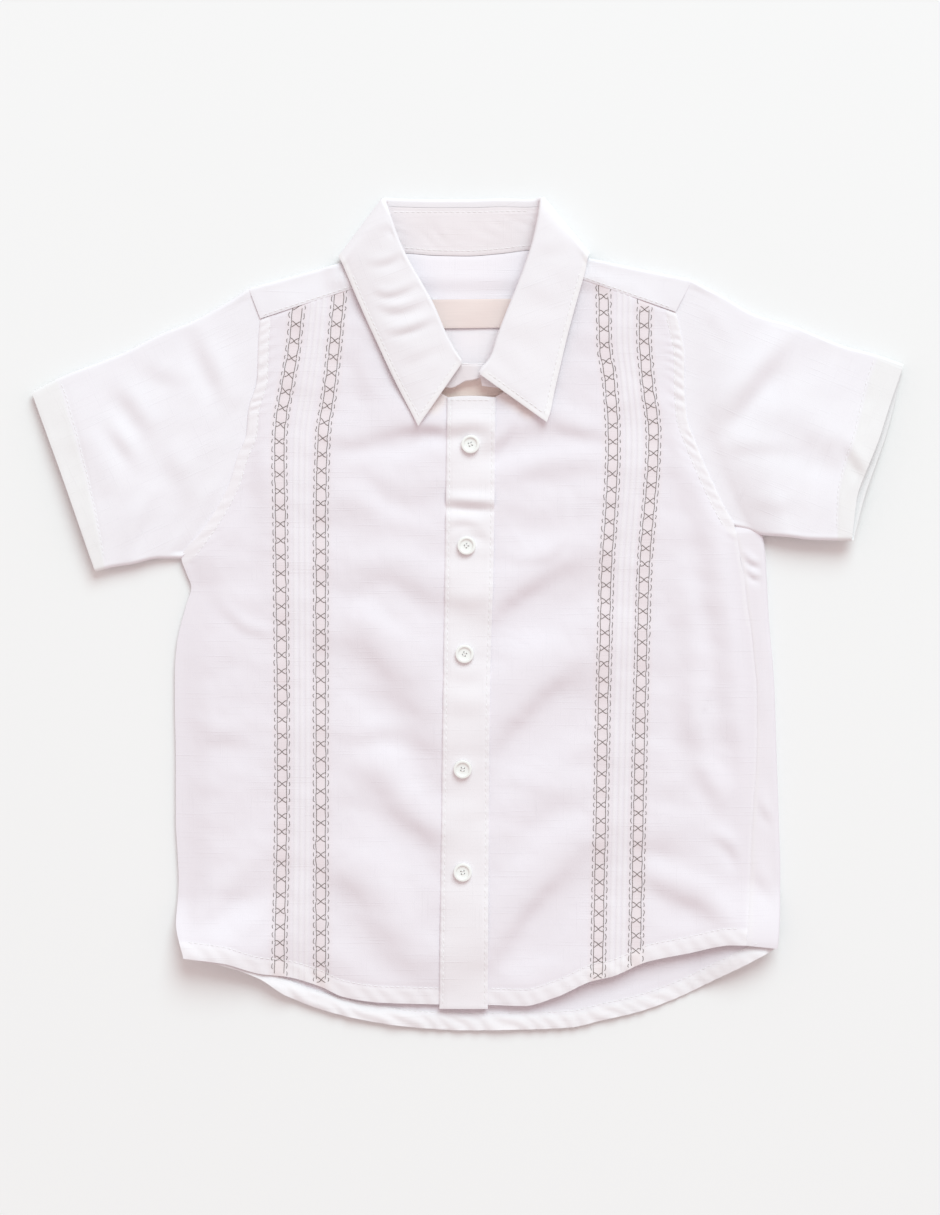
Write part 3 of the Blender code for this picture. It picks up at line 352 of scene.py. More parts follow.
def read(rows, at, column=1):
    """Reads a column of a table at keys, on a smooth curve that never passes its rows' values."""
    table = np.array(sorted(rows), float)
    keys, values = table[:, 0], table[:, column]
    at = np.clip(np.asarray(at, float), keys[0], keys[-1])
    step = np.diff(keys)
    slope = np.diff(values) / step
    before, after = slope[:-1], slope[1:]
    alike = before * after > 0
    inner = np.zeros(len(before))
    inner[alike] = 2 * before[alike] * after[alike] / (before[alike] + after[alike])
    tangent = np.concatenate([slope[:1], inner, slope[-1:]])
    index = np.clip(np.searchsorted(keys, at, side="right") - 1, 0, len(keys) - 2)
    share = (at - keys[index]) / step[index]
    square, cube = share ** 2, share ** 3
    return ((2 * cube - 3 * square + 1) * values[index] + (3 * square - 2 * cube) * values[index + 1]
            + ((cube - 2 * square + share) * tangent[index]
               + (cube - square) * tangent[index + 1]) * step[index])


def travel(rows, at):
    """Points at shares of a line's length."""
    points = np.array(rows, float)
    lengths = np.linalg.norm(np.diff(points, axis=0), axis=1)
    keys = np.concatenate([[0], np.cumsum(lengths)]) / lengths.sum()
    table = [(key, *row) for key, row in zip(keys, rows)]
    columns = [read(table, at, column + 1) for column in range(points.shape[1])]
    return np.stack(columns, axis=-1)


def line_length(rows):
    """Length of a line through points."""
    return float(np.linalg.norm(np.diff(np.array(rows, float), axis=0), axis=1).sum())


def unit(vectors):
    """The same directions, each with a length of 1."""
    return vectors / np.linalg.norm(vectors, axis=-1, keepdims=True)


def moved_aside(rows, distance):
    """A line moved sideways: to its right, going along it, where the distance is positive."""
    points = np.array(rows, float)
    ahead = unit(np.gradient(points, axis=0))
    return points + np.stack([ahead[:, 1], -ahead[:, 0]], axis=-1) * distance


def nearest_on(line, x, y):
    """For each point: its distance to a line, how far to its left it lies, and its share along."""
    line = np.array(line, float)
    gap, side, along = np.full(np.shape(x), 1e9), np.zeros(np.shape(x)), np.zeros(np.shape(x))
    steps = len(line) - 1
    for index, (start, end) in enumerate(zip(line, line[1:])):
        length = math.hypot(*(end - start))
        ahead = (end - start) / length
        from_x, from_y = x - start[0], y - start[1]
        share = np.clip((from_x * ahead[0] + from_y * ahead[1]) / length, 0, 1)
        away = np.hypot(from_x - ahead[0] * share * length, from_y - ahead[1] * share * length)
        closer = away < gap
        gap = np.where(closer, away, gap)
        side = np.where(closer, ahead[0] * from_y - ahead[1] * from_x, side)
        along = np.where(closer, (index + share) / steps, along)
    return gap, side, along


# Heights of the cloth

def fold_axis(start, middle, end):
    """A smooth bend through the three points of a fold."""
    start, middle, end = (np.array(point, float) for point in (start, middle, end))
    share = np.linspace(0, 1, 11)[:, None]
    pull = 2 * middle - (start + end) / 2
    return (1 - share) ** 2 * start + 2 * share * (1 - share) * pull + share ** 2 * end


def fold_height(folds, x, y):
    """Soft folds: each rises on its upper side and sinks on its lower one, and fades at its ends."""
    x, y = np.broadcast_arrays(np.asarray(x, float), np.asarray(y, float))
    height = np.zeros(x.shape)
    for *points, width, depth in folds:
        axis = fold_axis(*points)
        low, high = axis.min(axis=0) - 3 * width, axis.max(axis=0) + 3 * width
        near = (x > low[0]) & (x < high[0]) & (y > low[1]) & (y < high[1])
        if not near.any():
            continue
        gap, side, along = nearest_on(axis, x[near], y[near])
        sign = 1 if axis[-1][0] >= axis[0][0] else -1
        across = sign * side / width
        past = np.maximum(0, gap ** 2 - side ** 2) / width ** 2
        strength = (0.3 + 0.7 * np.sin(math.pi * along)) * np.exp(-past)
        height[near] += depth * across * np.exp(0.5 * (1 - across ** 2)) * strength
    return height


def unevenness(x, y, size, seed):
    """Gentle waves that never repeat in the piece, between about -1 and 1."""
    chance = np.random.default_rng(seed)
    total = np.zeros(np.shape(x))
    for _ in range(7):
        angle = chance.uniform(0, math.pi)
        length = size * chance.uniform(0.6, 1.7)
        phase = chance.uniform(0, math.tau)
        total += np.sin((x * math.cos(angle) + y * math.sin(angle)) * math.tau / length + phase)
    return total / 3.5


def step_over_fall(x, y):
    """How far the layers step up over the collar's fall: 0 beside it, 1 over it."""
    return ease((y - FALL_FREE_Y) / STEP_WIDTH) * ease((FALL_HALF_WIDTH - np.abs(x)) / STEP_WIDTH)


LEFT_GUIDE = swapped(LEFT_ARMHOLE[1:] + [LEFT_UNDERARM] + LEFT_SIDE)
RIGHT_GUIDE = swapped(RIGHT_ARMHOLE[1:] + [RIGHT_UNDERARM] + RIGHT_SEAM)


def front_hem(x):
    """Where the hem of the fronts lies at x."""
    return np.where(x < 0, read(LEFT_HEM, x), read(RIGHT_HEM, x))


def front_height(x, y):
    """Middle of the front's cloth above the floor."""
    left = ease((x - read(LEFT_GUIDE, y)) / SIDE_EASE)
    right = ease((read(RIGHT_GUIDE, y) - x) / SIDE_EASE)
    air = INNER_AIR + (read(LEFT_EDGE_AIR, y) - INNER_AIR) * (1 - left)
    air = air + (read(RIGHT_EDGE_AIR, y) - INNER_AIR) * (1 - right)
    sway_x = x + 3.5 * unevenness(x, y, 70, 11)
    sway_y = y + 3.5 * unevenness(x, y, 60, 12)
    folds = fold_height(BODY_FOLDS, sway_x, sway_y) * ease(left * 1.6) * ease(right * 1.6)
    waves = (0.4 * unevenness(x, y, 42, 21) + 0.17 * unevenness(x, y, 17, 22)
             + 0.05 * unevenness(x, y, 8, 23))
    air = air + FOLD_AIR * left * right * ease((105 - y) / 30)
    lowest = np.maximum(air - LEAST_AIR, 0.2)
    air = air + lowest * np.tanh((folds + waves * left * right) / lowest)
    air = mix(read(HEM_AIR, x), air, ease((y - front_hem(x)) / HEM_EASE))
    return FRONT_REST + air + LAYER * step_over_fall(x, y) + corner_lift(x, y)


def corner_lift(x, y):
    """How far the shirt's two lower corners curl up off the floor."""
    left = 12.5 * ease((-146 - y) / 34) * ease((-82 - x) / 50)
    right = 8.5 * ease((-138 - y) / 34) * ease((x - 114) / 38)
    return left + right


def placket_edges(y):
    """Left and right edge of the placket at y."""
    return read(PLACKET, y, 1), read(PLACKET, y, 2)


def band_height(x, y):
    """Middle of the cloth under the placket: straight from one edge of the placket to the other."""
    left, right = placket_edges(y)
    share = (x - left) / (right - left)
    return mix(front_height(left, y), front_height(right, y), share)


# Making pieces: the share of its thickness that cloth keeps at its edges, and the arch of a
# stitch: the shares of its length where it has points, and how far these stand off the cloth
EDGE_SHARE = 0.55
ARCH_SHARES = (0, 0.12, 0.5, 0.88, 1)
ARCH_LIFTS = (-0.2, 0.05, 0.14, 0.05, -0.2)


def placed(name, data):
    """A new object in the scene."""
    piece = bpy.data.objects.new(name, data)
    bpy.context.collection.objects.link(piece)
    return piece


def pick(piece=None):
    """Selects one object alone and makes it the active one, or selects none."""
    bpy.ops.object.select_all(action="DESELECT")
    if piece:
        piece.select_set(True)
        bpy.context.view_layer.objects.active = piece


def grid_quads(rows, columns):
    """Quads of a grid whose points run row by row, from the top row down, left to right."""
    corner = np.arange(rows * columns).reshape(rows, columns)[:-1, :-1].ravel()
    return np.stack([corner, corner + columns, corner + columns + 1, corner + 1], axis=-1)


def cloth(name, points, material, quads=None, thickness=None, grain=0.0, zones=()):
    """A sheet of cloth as a closed shell, thinner at its edges, with its weave's direction as UV.

    Points make a grid where there are no quads. Zones are shares from 0 to 1 at each point: of doubled
    cloth (painted light on the yoke), of an embroidered cell, and of painted warm shade by the collar.
    """
    if quads is None:
        quads = grid_quads(*points.shape[:2])
    points = points.reshape(-1, 3)
    count = len(points)
    thickness = (thickness or sizes().cloth) / MM
    corners = [points[quads[:, index]] for index in range(4)]
    turned = np.cross(corners[2] - corners[0], corners[3] - corners[1])
    normals = np.zeros_like(points)
    for index in range(4):
        np.add.at(normals, quads[:, index], turned)
    normals /= np.maximum(np.linalg.norm(normals, axis=1, keepdims=True), 1e-9)
    start, end = quads.ravel(), np.roll(quads, -1, axis=1).ravel()
    open_edge = ~np.isin(start * count + end, end * count + start)
    start, end = start[open_edge], end[open_edge]
    half = np.full(count, thickness / 2)
    half[start] *= EDGE_SHARE
    reach = normals * half[:, None]
    corners = np.concatenate([points + reach, points - reach])
    corners[:, 2] = np.maximum(corners[:, 2], 0)
    edge = np.stack([end, start, start + count, end + count], axis=-1)
    faces = np.concatenate([quads, quads[:, ::-1] + count, edge])
    mesh = bpy.data.meshes.new(name)
    mesh.from_pydata((corners * MM).tolist(), [], faces.tolist())
    turn = math.radians(grain)
    flat = corners[:, :2] * MM
    weave = np.stack([flat[:, 0] * math.cos(turn) + flat[:, 1] * math.sin(turn),
                      flat[:, 1] * math.cos(turn) - flat[:, 0] * math.sin(turn)], axis=-1)
    layer = mesh.uv_layers.new(name="weave")
    layer.data.foreach_set("uv", weave[faces.ravel()].ravel())
    shades = np.zeros((count * 2, 4), np.float32)
    shades[:, 3] = 1
    for channel, zone in enumerate(zones):
        shades[:, channel] = np.tile(np.ravel(zone), 2)
    attribute = mesh.attributes.new("zones", "FLOAT_COLOR", "POINT")
    attribute.data.foreach_set("color", shades.ravel())
    mesh.materials.append(material)
    mesh.shade_smooth()
    mesh.set_sharp_from_angle(angle=math.radians(60))
    return placed(name, mesh)


def settle(piece, slot, *nodes):
    """Makes a piece stand for its CAD nodes and move with the shirt's body."""
    if nodes:
        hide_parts(*nodes)
    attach(piece, BODY)
    return piece


def thread_lines(name, lines, width, material):
    """Threads along lines of points in millimetres, as one mesh of fine round tubes."""
    curve = bpy.data.curves.new(name, "CURVE")
    curve.dimensions = "3D"
    curve.bevel_depth = width / 2
    curve.bevel_resolution = 1
    curve.use_fill_caps = True
    for line in lines:
        spline = curve.splines.new("POLY")
        spline.points.add(len(line) - 1)
        places = np.ones((len(line), 4))
        places[:, :3] = np.asarray(line) * MM
        spline.points.foreach_set("co", places.ravel())
    pick(placed(name, curve))
    bpy.ops.object.convert(target="MESH")
    thread = bpy.context.view_layer.objects.active
    thread.name = name
    thread.data.materials.clear()
    thread.data.materials.append(material)
    thread.data.shade_smooth()
    return thread


def tree_over(*names):
    """The named pieces' faces, to find the cloth's top under a point."""
    corners, faces = [], []
    for name in names:
        mesh = bpy.data.objects[name].data
        first = len(corners)
        corners += [vertex.co.copy() for vertex in mesh.vertices]
        faces += [tuple(first + index for index in polygon.vertices) for polygon in mesh.polygons]
    return BVHTree.FromPolygons(corners, faces)


def top_of(tree, x, y):
    """Height of the cloth's top at a place in plan, or None beside it."""
    hit = tree.ray_cast(Vector((x * MM, y * MM, 0.05)), Vector((0, 0, -1)))[0]
    return None if hit is None else hit.z / MM


def laid_on(tree, line, lifts):
    """A plan line laid on the cloth, lifted by a distance at each of its points."""
    places = []
    for (x, y), lift in zip(line, lifts):
        top = top_of(tree, x, y)
        if top is None:
            return None
        places.append((x, y, top + lift))
    return places


def stitches(tree, line):
    """A row of arched stitches along a plan line."""
    length, gap = sizes().stitch / MM, sizes().stitch_gap / MM
    total = line_length(line)
    count = max(1, int(total / (length + gap)))
    made = []
    for index in range(count):
        start = index * (length + gap) / total
        shares = start + np.array(ARCH_SHARES) * length / total
        if shares[-1] > 1:
            break
        row = laid_on(tree, travel(line, shares), ARCH_LIFTS)
        if row:
            made.append(row)
    return made


# Materials

def socket(group, name, kind, out=False, value=None):
    """Adds a socket to a node group."""
    item = group.interface.new_socket(name=name, in_out="OUTPUT" if out else "INPUT", socket_type=kind)
    if value is not None:
        item.default_value = value
    return item


def feed(tree, node, **inputs):
    """Fills a node's inputs, each named in_ and its name or number: links a socket, or sets a value."""
    for key, value in inputs.items():
        name = key[3:].replace("_", " ")
        target = node.inputs[int(name) if name.isdigit() else name]
        if isinstance(value, bpy.types.NodeSocket):
            tree.links.new(value, target)
        else:
            target.default_value = value


def add(tree, kind, **settings):
    """Adds a node with its settings, and fills its inputs."""
    node = tree.nodes.new(kind)
    inputs = {key: settings.pop(key) for key in list(settings) if key.startswith("in_")}
    for key, value in settings.items():
        setattr(node, key, value)
    feed(tree, node, **inputs)
    return node


def slub_cotton_group():
    """Plain weave with thick slubs both ways: its colour and the height of its threads."""
    if "Slub cotton" in bpy.data.node_groups:
        return bpy.data.node_groups["Slub cotton"]
    group = bpy.data.node_groups.new("Slub cotton", "ShaderNodeTree")
    socket(group, "Weave", "NodeSocketVector")
    socket(group, "Single", "NodeSocketColor", value=(0.86, 0.8, 0.86, 1))
    socket(group, "Doubled", "NodeSocketColor", value=(0.9, 0.87, 0.89, 1))
    socket(group, "Doubling", "NodeSocketFloat", value=0.0)
    socket(group, "Slub colour", "NodeSocketFloat", value=0.014)
    socket(group, "Color", "NodeSocketColor", out=True)
    socket(group, "Height", "NodeSocketFloat", out=True)
    given = group.nodes.new("NodeGroupInput").outputs

    def slubs(scale, low, high):
        """Threads that stand out: noise stretched by a scale, read between two of its levels."""
        spread = add(group, "ShaderNodeVectorMath", operation="MULTIPLY",
                     in_0=given["Weave"], in_1=scale)
        noise = add(group, "ShaderNodeTexNoise", in_Vector=spread.outputs[0],
                    in_Scale=1.0, in_Detail=2.0, in_Roughness=0.6)
        ramp = add(group, "ShaderNodeMapRange", interpolation_type="SMOOTHSTEP",
                   in_Value=noise.outputs["Fac"], in_From_Min=low, in_From_Max=high)
        return ramp.outputs["Result"]

    def reckon(operation, **inputs):
        """The result of one step of arithmetic."""
        return add(group, "ShaderNodeMath", operation=operation, **inputs).outputs[0]

    crosswise = slubs((26.0, 1150.0, 1.0), 0.56, 0.74)
    lengthwise = slubs((1350.0, 24.0, 1.0), 0.6, 0.78)
    fine = slubs((2400.0, 2400.0, 1.0), 0.3, 0.7)
    cloudy = slubs((30.0, 30.0, 1.0), 0.35, 0.65)
    both = reckon("MAXIMUM", in_0=crosswise, in_1=lengthwise)
    base = add(group, "ShaderNodeMix", data_type="RGBA", in_0=given["Doubling"],
               in_6=given["Single"], in_7=given["Doubled"])
    depth = reckon("MULTIPLY", in_0=both, in_1=given["Slub colour"])
    clouds = reckon("MULTIPLY_ADD", in_0=cloudy, in_1=0.012, in_2=depth)
    shade = reckon("SUBTRACT", in_0=1.0, in_1=clouds)
    darker = add(group, "ShaderNodeVectorMath", operation="SCALE",
                 in_0=base.outputs[2], in_Scale=shade)
    raised = reckon("MULTIPLY_ADD", in_0=fine, in_1=0.35, in_2=both)
    feed(group, group.nodes.new("NodeGroupOutput"), in_Color=darker.outputs[0], in_Height=raised)
    return group


def once(make):
    """Makes a material the first time that it is asked for, and hands out the same one after."""
    def ask(name, **settings):
        """The material of this name, made if it isn't there yet."""
        if name in bpy.data.materials:
            return bpy.data.materials[name]
        material = bpy.data.materials.new(name)
        material.use_nodes = True
        tree = material.node_tree
        make(tree, tree.nodes["Principled BSDF"], **settings)
        return material
    return ask


def bumped(tree, shader, height, strength, distance):
    """Raises the look of a surface by a height."""
    bump = add(tree, "ShaderNodeBump", in_Strength=strength, in_Distance=distance, in_Height=height)
    feed(tree, shader, in_Normal=bump.outputs[0])


def mottled(tree, shader, colour, dark, pale, place, **noise):
    """Colours a surface between a darker and a paler tone by a noise, which it gives back."""
    share = add(tree, "ShaderNodeTexNoise", in_Vector=place, **noise).outputs["Fac"]
    colour = np.array(colour)
    mixed = add(tree, "ShaderNodeMix", data_type="RGBA", in_0=share,
                in_6=(*(colour * dark), 1), in_7=(*np.minimum(1, colour * pale), 1))
    feed(tree, shader, in_Base_Color=mixed.outputs[2])
    return share


def own_place(tree):
    """Each point's place on its own piece."""
    return tree.nodes.new("ShaderNodeTexCoord").outputs["Object"]


# The colours of each cloth: where it lies single, and where it lies double or shows whiter, which on the
# yoke is painted light inside the collar
COTTONS = {
    "body_cotton": ("body_cloth", "doubled_cloth"),
    "firm_cotton": ("body_cloth", "firm_cloth"),
    "collar_cotton": ("collar_cloth", "collar_edge"),
    "yoke_cotton": ("sleeve_cloth", "yoke_inside_painted_light"),
    "sleeve_cotton": ("sleeve_cloth", "sleeve_hem"),
}


def cotton(name):
    """One of the cottons."""
    single, doubled = COTTONS[name]
    return slub_cotton(name, single=getattr(colours(), single), doubled=getattr(colours(), doubled))


@once
def slub_cotton(tree, shader, single, doubled):
    """White slub cotton, warmer in the embroidered cells, whiter where it lies double, and with painted
    warm shade in its third zone.
    """
    feed(tree, shader, in_Roughness=0.85, in_Specular_IOR_Level=0.25, in_Sheen_Weight=0.08,
         in_Sheen_Roughness=0.5)
    zones = add(tree, "ShaderNodeAttribute", attribute_name="zones")
    zone = add(tree, "ShaderNodeSeparateColor", in_0=zones.outputs["Color"]).outputs
    fabric = tree.nodes.new("ShaderNodeGroup")
    fabric.node_tree = slub_cotton_group()
    weave = add(tree, "ShaderNodeUVMap", uv_map="weave")
    feed(tree, fabric, in_Single=(*single, 1), in_Doubled=(*doubled, 1),
         in_Weave=weave.outputs[0], in_Doubling=zone["Red"])
    cell = add(tree, "ShaderNodeMix", data_type="RGBA", blend_type="MULTIPLY", in_0=zone["Green"],
               in_6=fabric.outputs["Color"], in_7=(0.99, 0.945, 0.925, 1))
    # Painted shade: the third zone turns the cloth warmer and darker inside the collar's opening and
    # under its leaves
    inside = add(tree, "ShaderNodeMix", data_type="RGBA", in_0=zone["Blue"],
                 in_6=cell.outputs[2], in_7=(0.985, 0.84, 0.775, 1))
    feed(tree, shader, in_Base_Color=inside.outputs[2])
    bumped(tree, shader, fabric.outputs["Height"], 0.35, 0.00018)


@once
def thread_material(tree, shader, colour, roughness):
    """Twisted thread: a fine noise of painted shade where its plies meet and painted light on them."""
    feed(tree, shader, in_Roughness=roughness, in_Sheen_Weight=0.1)
    mottled(tree, shader, colour, 0.86, 1.1, own_place(tree), in_Scale=2600.0, in_Detail=1.0)


def sewing_thread():
    """The white sewing thread."""
    return thread_material("sewing_thread", colour=colours().sewing_thread, roughness=0.6)


@once
def pearl_material(tree, shader):
    """Pearly buttons: a soft gloss over faint pale swirls."""
    feed(tree, shader, in_Roughness=0.24, in_Coat_Weight=0.5, in_Coat_Roughness=0.12)
    mottled(tree, shader, colours().pearl, (0.95, 0.93, 0.93), (1.05, 1.07, 1.09), own_place(tree),
            in_Scale=260.0, in_Detail=3.0, in_Distortion=1.6)


@once
def label_material(tree, shader):
    """Satin tape: close ribs across the label."""
    feed(tree, shader, in_Roughness=0.5, in_Sheen_Weight=0.15)
    weave = add(tree, "ShaderNodeUVMap", uv_map="weave")
    spread = add(tree, "ShaderNodeVectorMath", operation="MULTIPLY",
                 in_0=weave.outputs[0], in_1=(60.0, 2600.0, 1.0))
    ribs = mottled(tree, shader, colours().label, 0.95, 1.05, spread.outputs[0],
                   in_Scale=1.0, in_Detail=2.0)
    bumped(tree, shader, ribs, 0.3, 0.0001)


@once
def floor_material(tree, shader):
    """A pale, matt floor."""
    feed(tree, shader, in_Roughness=0.95, in_Specular_IOR_Level=0.1)
    mottled(tree, shader, colours().floor, 0.995, 1.005, own_place(tree), in_Scale=3.0, in_Detail=2.0)


# The fronts: the half width and the step of the fine columns at the pintucks, the y above which
# the rows follow the neckline, the rows above and below it, the distance from the armhole to its
# stitching, the lengths of the waves along it and along the hem and the ladders, and the line
# round which painted warm shade lies on the fronts, for the shadow of the collar's leaves
STRIP_REACH = 6.0
FINE_STEP = 0.5
LEVEL_Y = 104
UPPER_ROWS = 72
LOWER_ROWS = 214
ARMHOLE_ROW = 5.2
PUCKER_LENGTH = 5.2
PUCKER_REACH = 7.0
HEM_WAVE = 9.5
LADDER_WAVE = 8.4
NECK_SHADE_LINE = ((-18, 108), (-3, 128), (7, 124), (32, 106))


def front_columns(left):
    """Columns across a front: the guide each follows, its share towards the next, and a shift."""
    strip = [(1, 0.5, shift) for shift in np.arange(-STRIP_REACH, STRIP_REACH + 0.01, FINE_STEP)]
    between = [(1, share, 0.0) for share in (0.0, 0.05, 0.1, 0.15, 0.2)]
    after = [(1, share, 0.0) for share in (0.8, 0.85, 0.9, 0.95)]
    side, middle = 40, 50
    first, last = (side, middle) if left else (middle, side)
    columns = [(0, index / first, 0.0) for index in range(first)]
    columns += between + strip + after
    columns += [(2, index / last, 0.0) for index in range(last + 1)]
    return np.array(columns)


def tuck_profile(x, middle):
    """Narrow pleats pressed to one side: a crisp edge, a flat back and a soft foot."""
    size = sizes()
    spacing, height = size.tuck_spacing / MM, size.tuck_height / MM
    raised = np.zeros(np.shape(x))
    for index in range(size.tucks):
        away = x - (middle + (index - (size.tucks - 1) / 2) * spacing)
        raised = np.maximum(raised, ease((away + 1.0) / 0.5) * ease((1.4 - away) / 1.2))
    return raised * height


def front_piece(name, left):
    """One front, with its pintucks, puckers, hem and the pull of its sewing."""
    if left:
        placket_side = [(y, edge_left + LAP) for y, edge_left, _ in PLACKET]
        guides = [LEFT_GUIDE, LEFT_OUTER_LADDER, LEFT_INNER_LADDER, placket_side]
        top, hem, armhole = LEFT_YOKE_SEAM + LEFT_NECKLINE, LEFT_HEM, LEFT_ARMHOLE[1:]
    else:
        placket_side = [(y, edge_right - LAP) for y, _, edge_right in PLACKET]
        guides = [placket_side, RIGHT_INNER_LADDER, RIGHT_OUTER_LADDER, RIGHT_GUIDE]
        top, hem, armhole = RIGHT_NECKLINE + RIGHT_YOKE_SEAM, RIGHT_HEM, RIGHT_ARMHOLE[1:]
    columns = front_columns(left)
    follow, share, shift = columns[:, 0].astype(int), columns[:, 1], columns[:, 2]

    def column_x(y):
        """Where each column lies at y."""
        lines = np.stack([read(guide, y) for guide in guides])
        near = np.take_along_axis(lines, np.broadcast_to(follow, y.shape)[None], axis=0)[0]
        far = np.take_along_axis(lines, np.broadcast_to(follow + 1, y.shape)[None], axis=0)[0]
        return mix(near, far, share) + shift

    highest, lowest = np.full(len(columns), 150.0), np.full(len(columns), -190.0)
    # Each round halves the way that is left to the neckline and to the hem
    for _ in range(40):
        highest = mix(highest, read(top, column_x(highest)), 0.5)
        lowest = mix(lowest, read(hem, column_x(lowest)), 0.5)
    y = np.concatenate([
        mix(highest, LEVEL_Y, np.linspace(0, 1, UPPER_ROWS, endpoint=False)[:, None]),
        mix(LEVEL_Y, lowest, np.linspace(0, 1, LOWER_ROWS)[:, None])])
    x = column_x(y)
    edge_left, edge_right = placket_edges(y)
    under_placket = (x > edge_left - 0.1) & (x < edge_right + 0.1)
    z = np.where(under_placket, band_height(x, y), front_height(x, y))
    open_cloth = 1 - under_placket.astype(float)
    outer, inner = read(guides[1], y), read(guides[2], y)
    tucked = tuck_profile(x, (outer + inner) / 2)
    z += tucked
    seam = nearest_on(armhole, x, y)[0]
    chance = unevenness(x, y, 26, 5 if left else 6)
    lean = -0.5 * x if left else 0.5 * x
    pucker = np.sin((y + lean) * math.tau / PUCKER_LENGTH + 3.0 * unevenness(x, y, 26, 9))
    z += (pucker * (0.2 + 0.17 * chance) + 0.2) * bell(seam, PUCKER_REACH) * ease(seam / 1.5)
    stitched = moved_aside(travel(armhole, np.linspace(0, 1, 60)), -ARMHOLE_ROW if left else ARMHOLE_ROW)
    z -= 0.3 * bell(nearest_on(stitched, x, y)[0], 0.9)
    above_hem = y - front_hem(x)
    band = ease((HEM_BAND - above_hem) / 1.2)
    ripple = np.sin((x + 0.8 * y) * math.tau / HEM_WAVE + 1.2 * unevenness(x, y, 30, 3))
    z += band * (0.2 + 0.18 * ripple) * open_cloth
    z -= 0.2 * bell(above_hem - HEM_BAND, 0.9) * open_cloth
    yoke_gap = highest - y
    z -= 0.7 * (1 - ease(yoke_gap / 3.0)) * (np.abs(x) > 50)
    ladder = np.minimum(np.abs(x - outer), np.abs(x - inner))
    z -= 0.12 * bell(ladder, 3.5)
    z += 0.06 * np.cos(y * math.tau / LADDER_WAVE) * bell(ladder, 6)
    side_seam = np.abs(x - read(RIGHT_GUIDE, y)) < 1.4
    doubled = 0.7 * band + 0.5 * ease(tucked / 0.2) + 0.7 * (seam < ARMHOLE_ROW) + 0.45 * side_seam
    cells = 0.65 * (ladder < 2.5) + 0.45 * ease((6.0 - ladder) / 1.5)
    # Painted shade: a warm tone on the fronts along the collar's leaves and into the neck opening, for
    # the leaves' shadow
    painted_neck_shade = 0.5 * ease((7.5 - nearest_on(NECK_SHADE_LINE, x, y)[0]) / 6)
    piece = cloth(name, np.stack([x, y, z], axis=-1), cotton("body_cotton"),
                  zones=(np.clip(doubled, 0, 1), cells, painted_neck_shade))
    return settle(piece, "cotton", "front_left" if left else "front_right")


def strip_down(top, foot, inset, columns, rise=0.0, crown=0.0, drop=0.0):
    """A band down the middle: its x, y and z, and the distance of its points from its edges."""
    share, y = np.meshgrid(np.linspace(0, 1, columns), np.linspace(top, foot, STRIP_ROWS))
    left, right = placket_edges(y)
    x = mix(left + inset, right - inset, share)
    z = band_height(x, y) + rise + crown * np.sin(math.pi * share)
    edge = np.minimum(x - left, right - x)
    return x, y, z - drop * (1 - ease(edge / 1.2)), edge


def placket_pieces():
    """The placket with its two rows of stitching, and the button band that it covers."""
    x, y, z, edge = strip_down(PLACKET_TOP, PLACKET_FOOT, 0, 44, rise=LAYER, crown=0.3, drop=0.3)
    z = z - 0.26 * bell(edge - PLACKET_ROW, 0.8)
    z += 0.12 * np.sin(y * math.tau / 6.1 + unevenness(x, y, 20, 41)) * bell(edge - 0.8, 1.1)
    z += 0.1 * unevenness(x, y, 24, 42) + 0.25 * unevenness(x, y, 60, 43)
    z += fold_height(PLACKET_FOLDS, x, y)
    top_shape = 0.8 * np.sin(math.pi * np.clip((x - x[0, 0]) / (x[0, -1] - x[0, 0]), 0, 1))
    y = y + top_shape * ease((y - 100) / 12)
    piece = cloth("front_placket", np.stack([x, y, z], axis=-1), cotton("firm_cotton"),
                  thickness=1.1 * MM, zones=(np.ones(x.shape),))
    settle(piece, "cotton", "placket")
    x, y, z, _ = strip_down(PLACKET_TOP - 1, PLACKET_FOOT + 2, LAP + 0.3, 10)
    piece = cloth("button_facing", np.stack([x, y, z], axis=-1), cotton("firm_cotton"),
                  zones=(np.ones(x.shape),))
    settle(piece, "cotton", "button_band")


# The back and the yoke, with the yoke's points along a shoulder and from the back to its edge
YOKE_STEPS = 46


def painted_warm_shade(x, y):
    """How much painted warm shade the inside of the shirt gets, deep in the opening of the collar."""
    deep = ease((126 - y) / 7) + 0.15 * ease((152 - y) / 8)
    return np.minimum(1, deep) * ease((y - 90) / 6) * ease((40 - np.abs(x - 3)) / 10)


def above_yoke_seam(armhole):
    """The part of an armhole over the seam between the back and the yoke, down to the seam."""
    return [row for row in armhole if row[1] > BACK_YOKE_Y] + [armhole_at_seam(armhole)]


def armhole_at_seam(armhole):
    """The point of an armhole where the seam between the back and the yoke meets it."""
    return float(read(swapped(armhole), BACK_YOKE_Y)), BACK_YOKE_Y


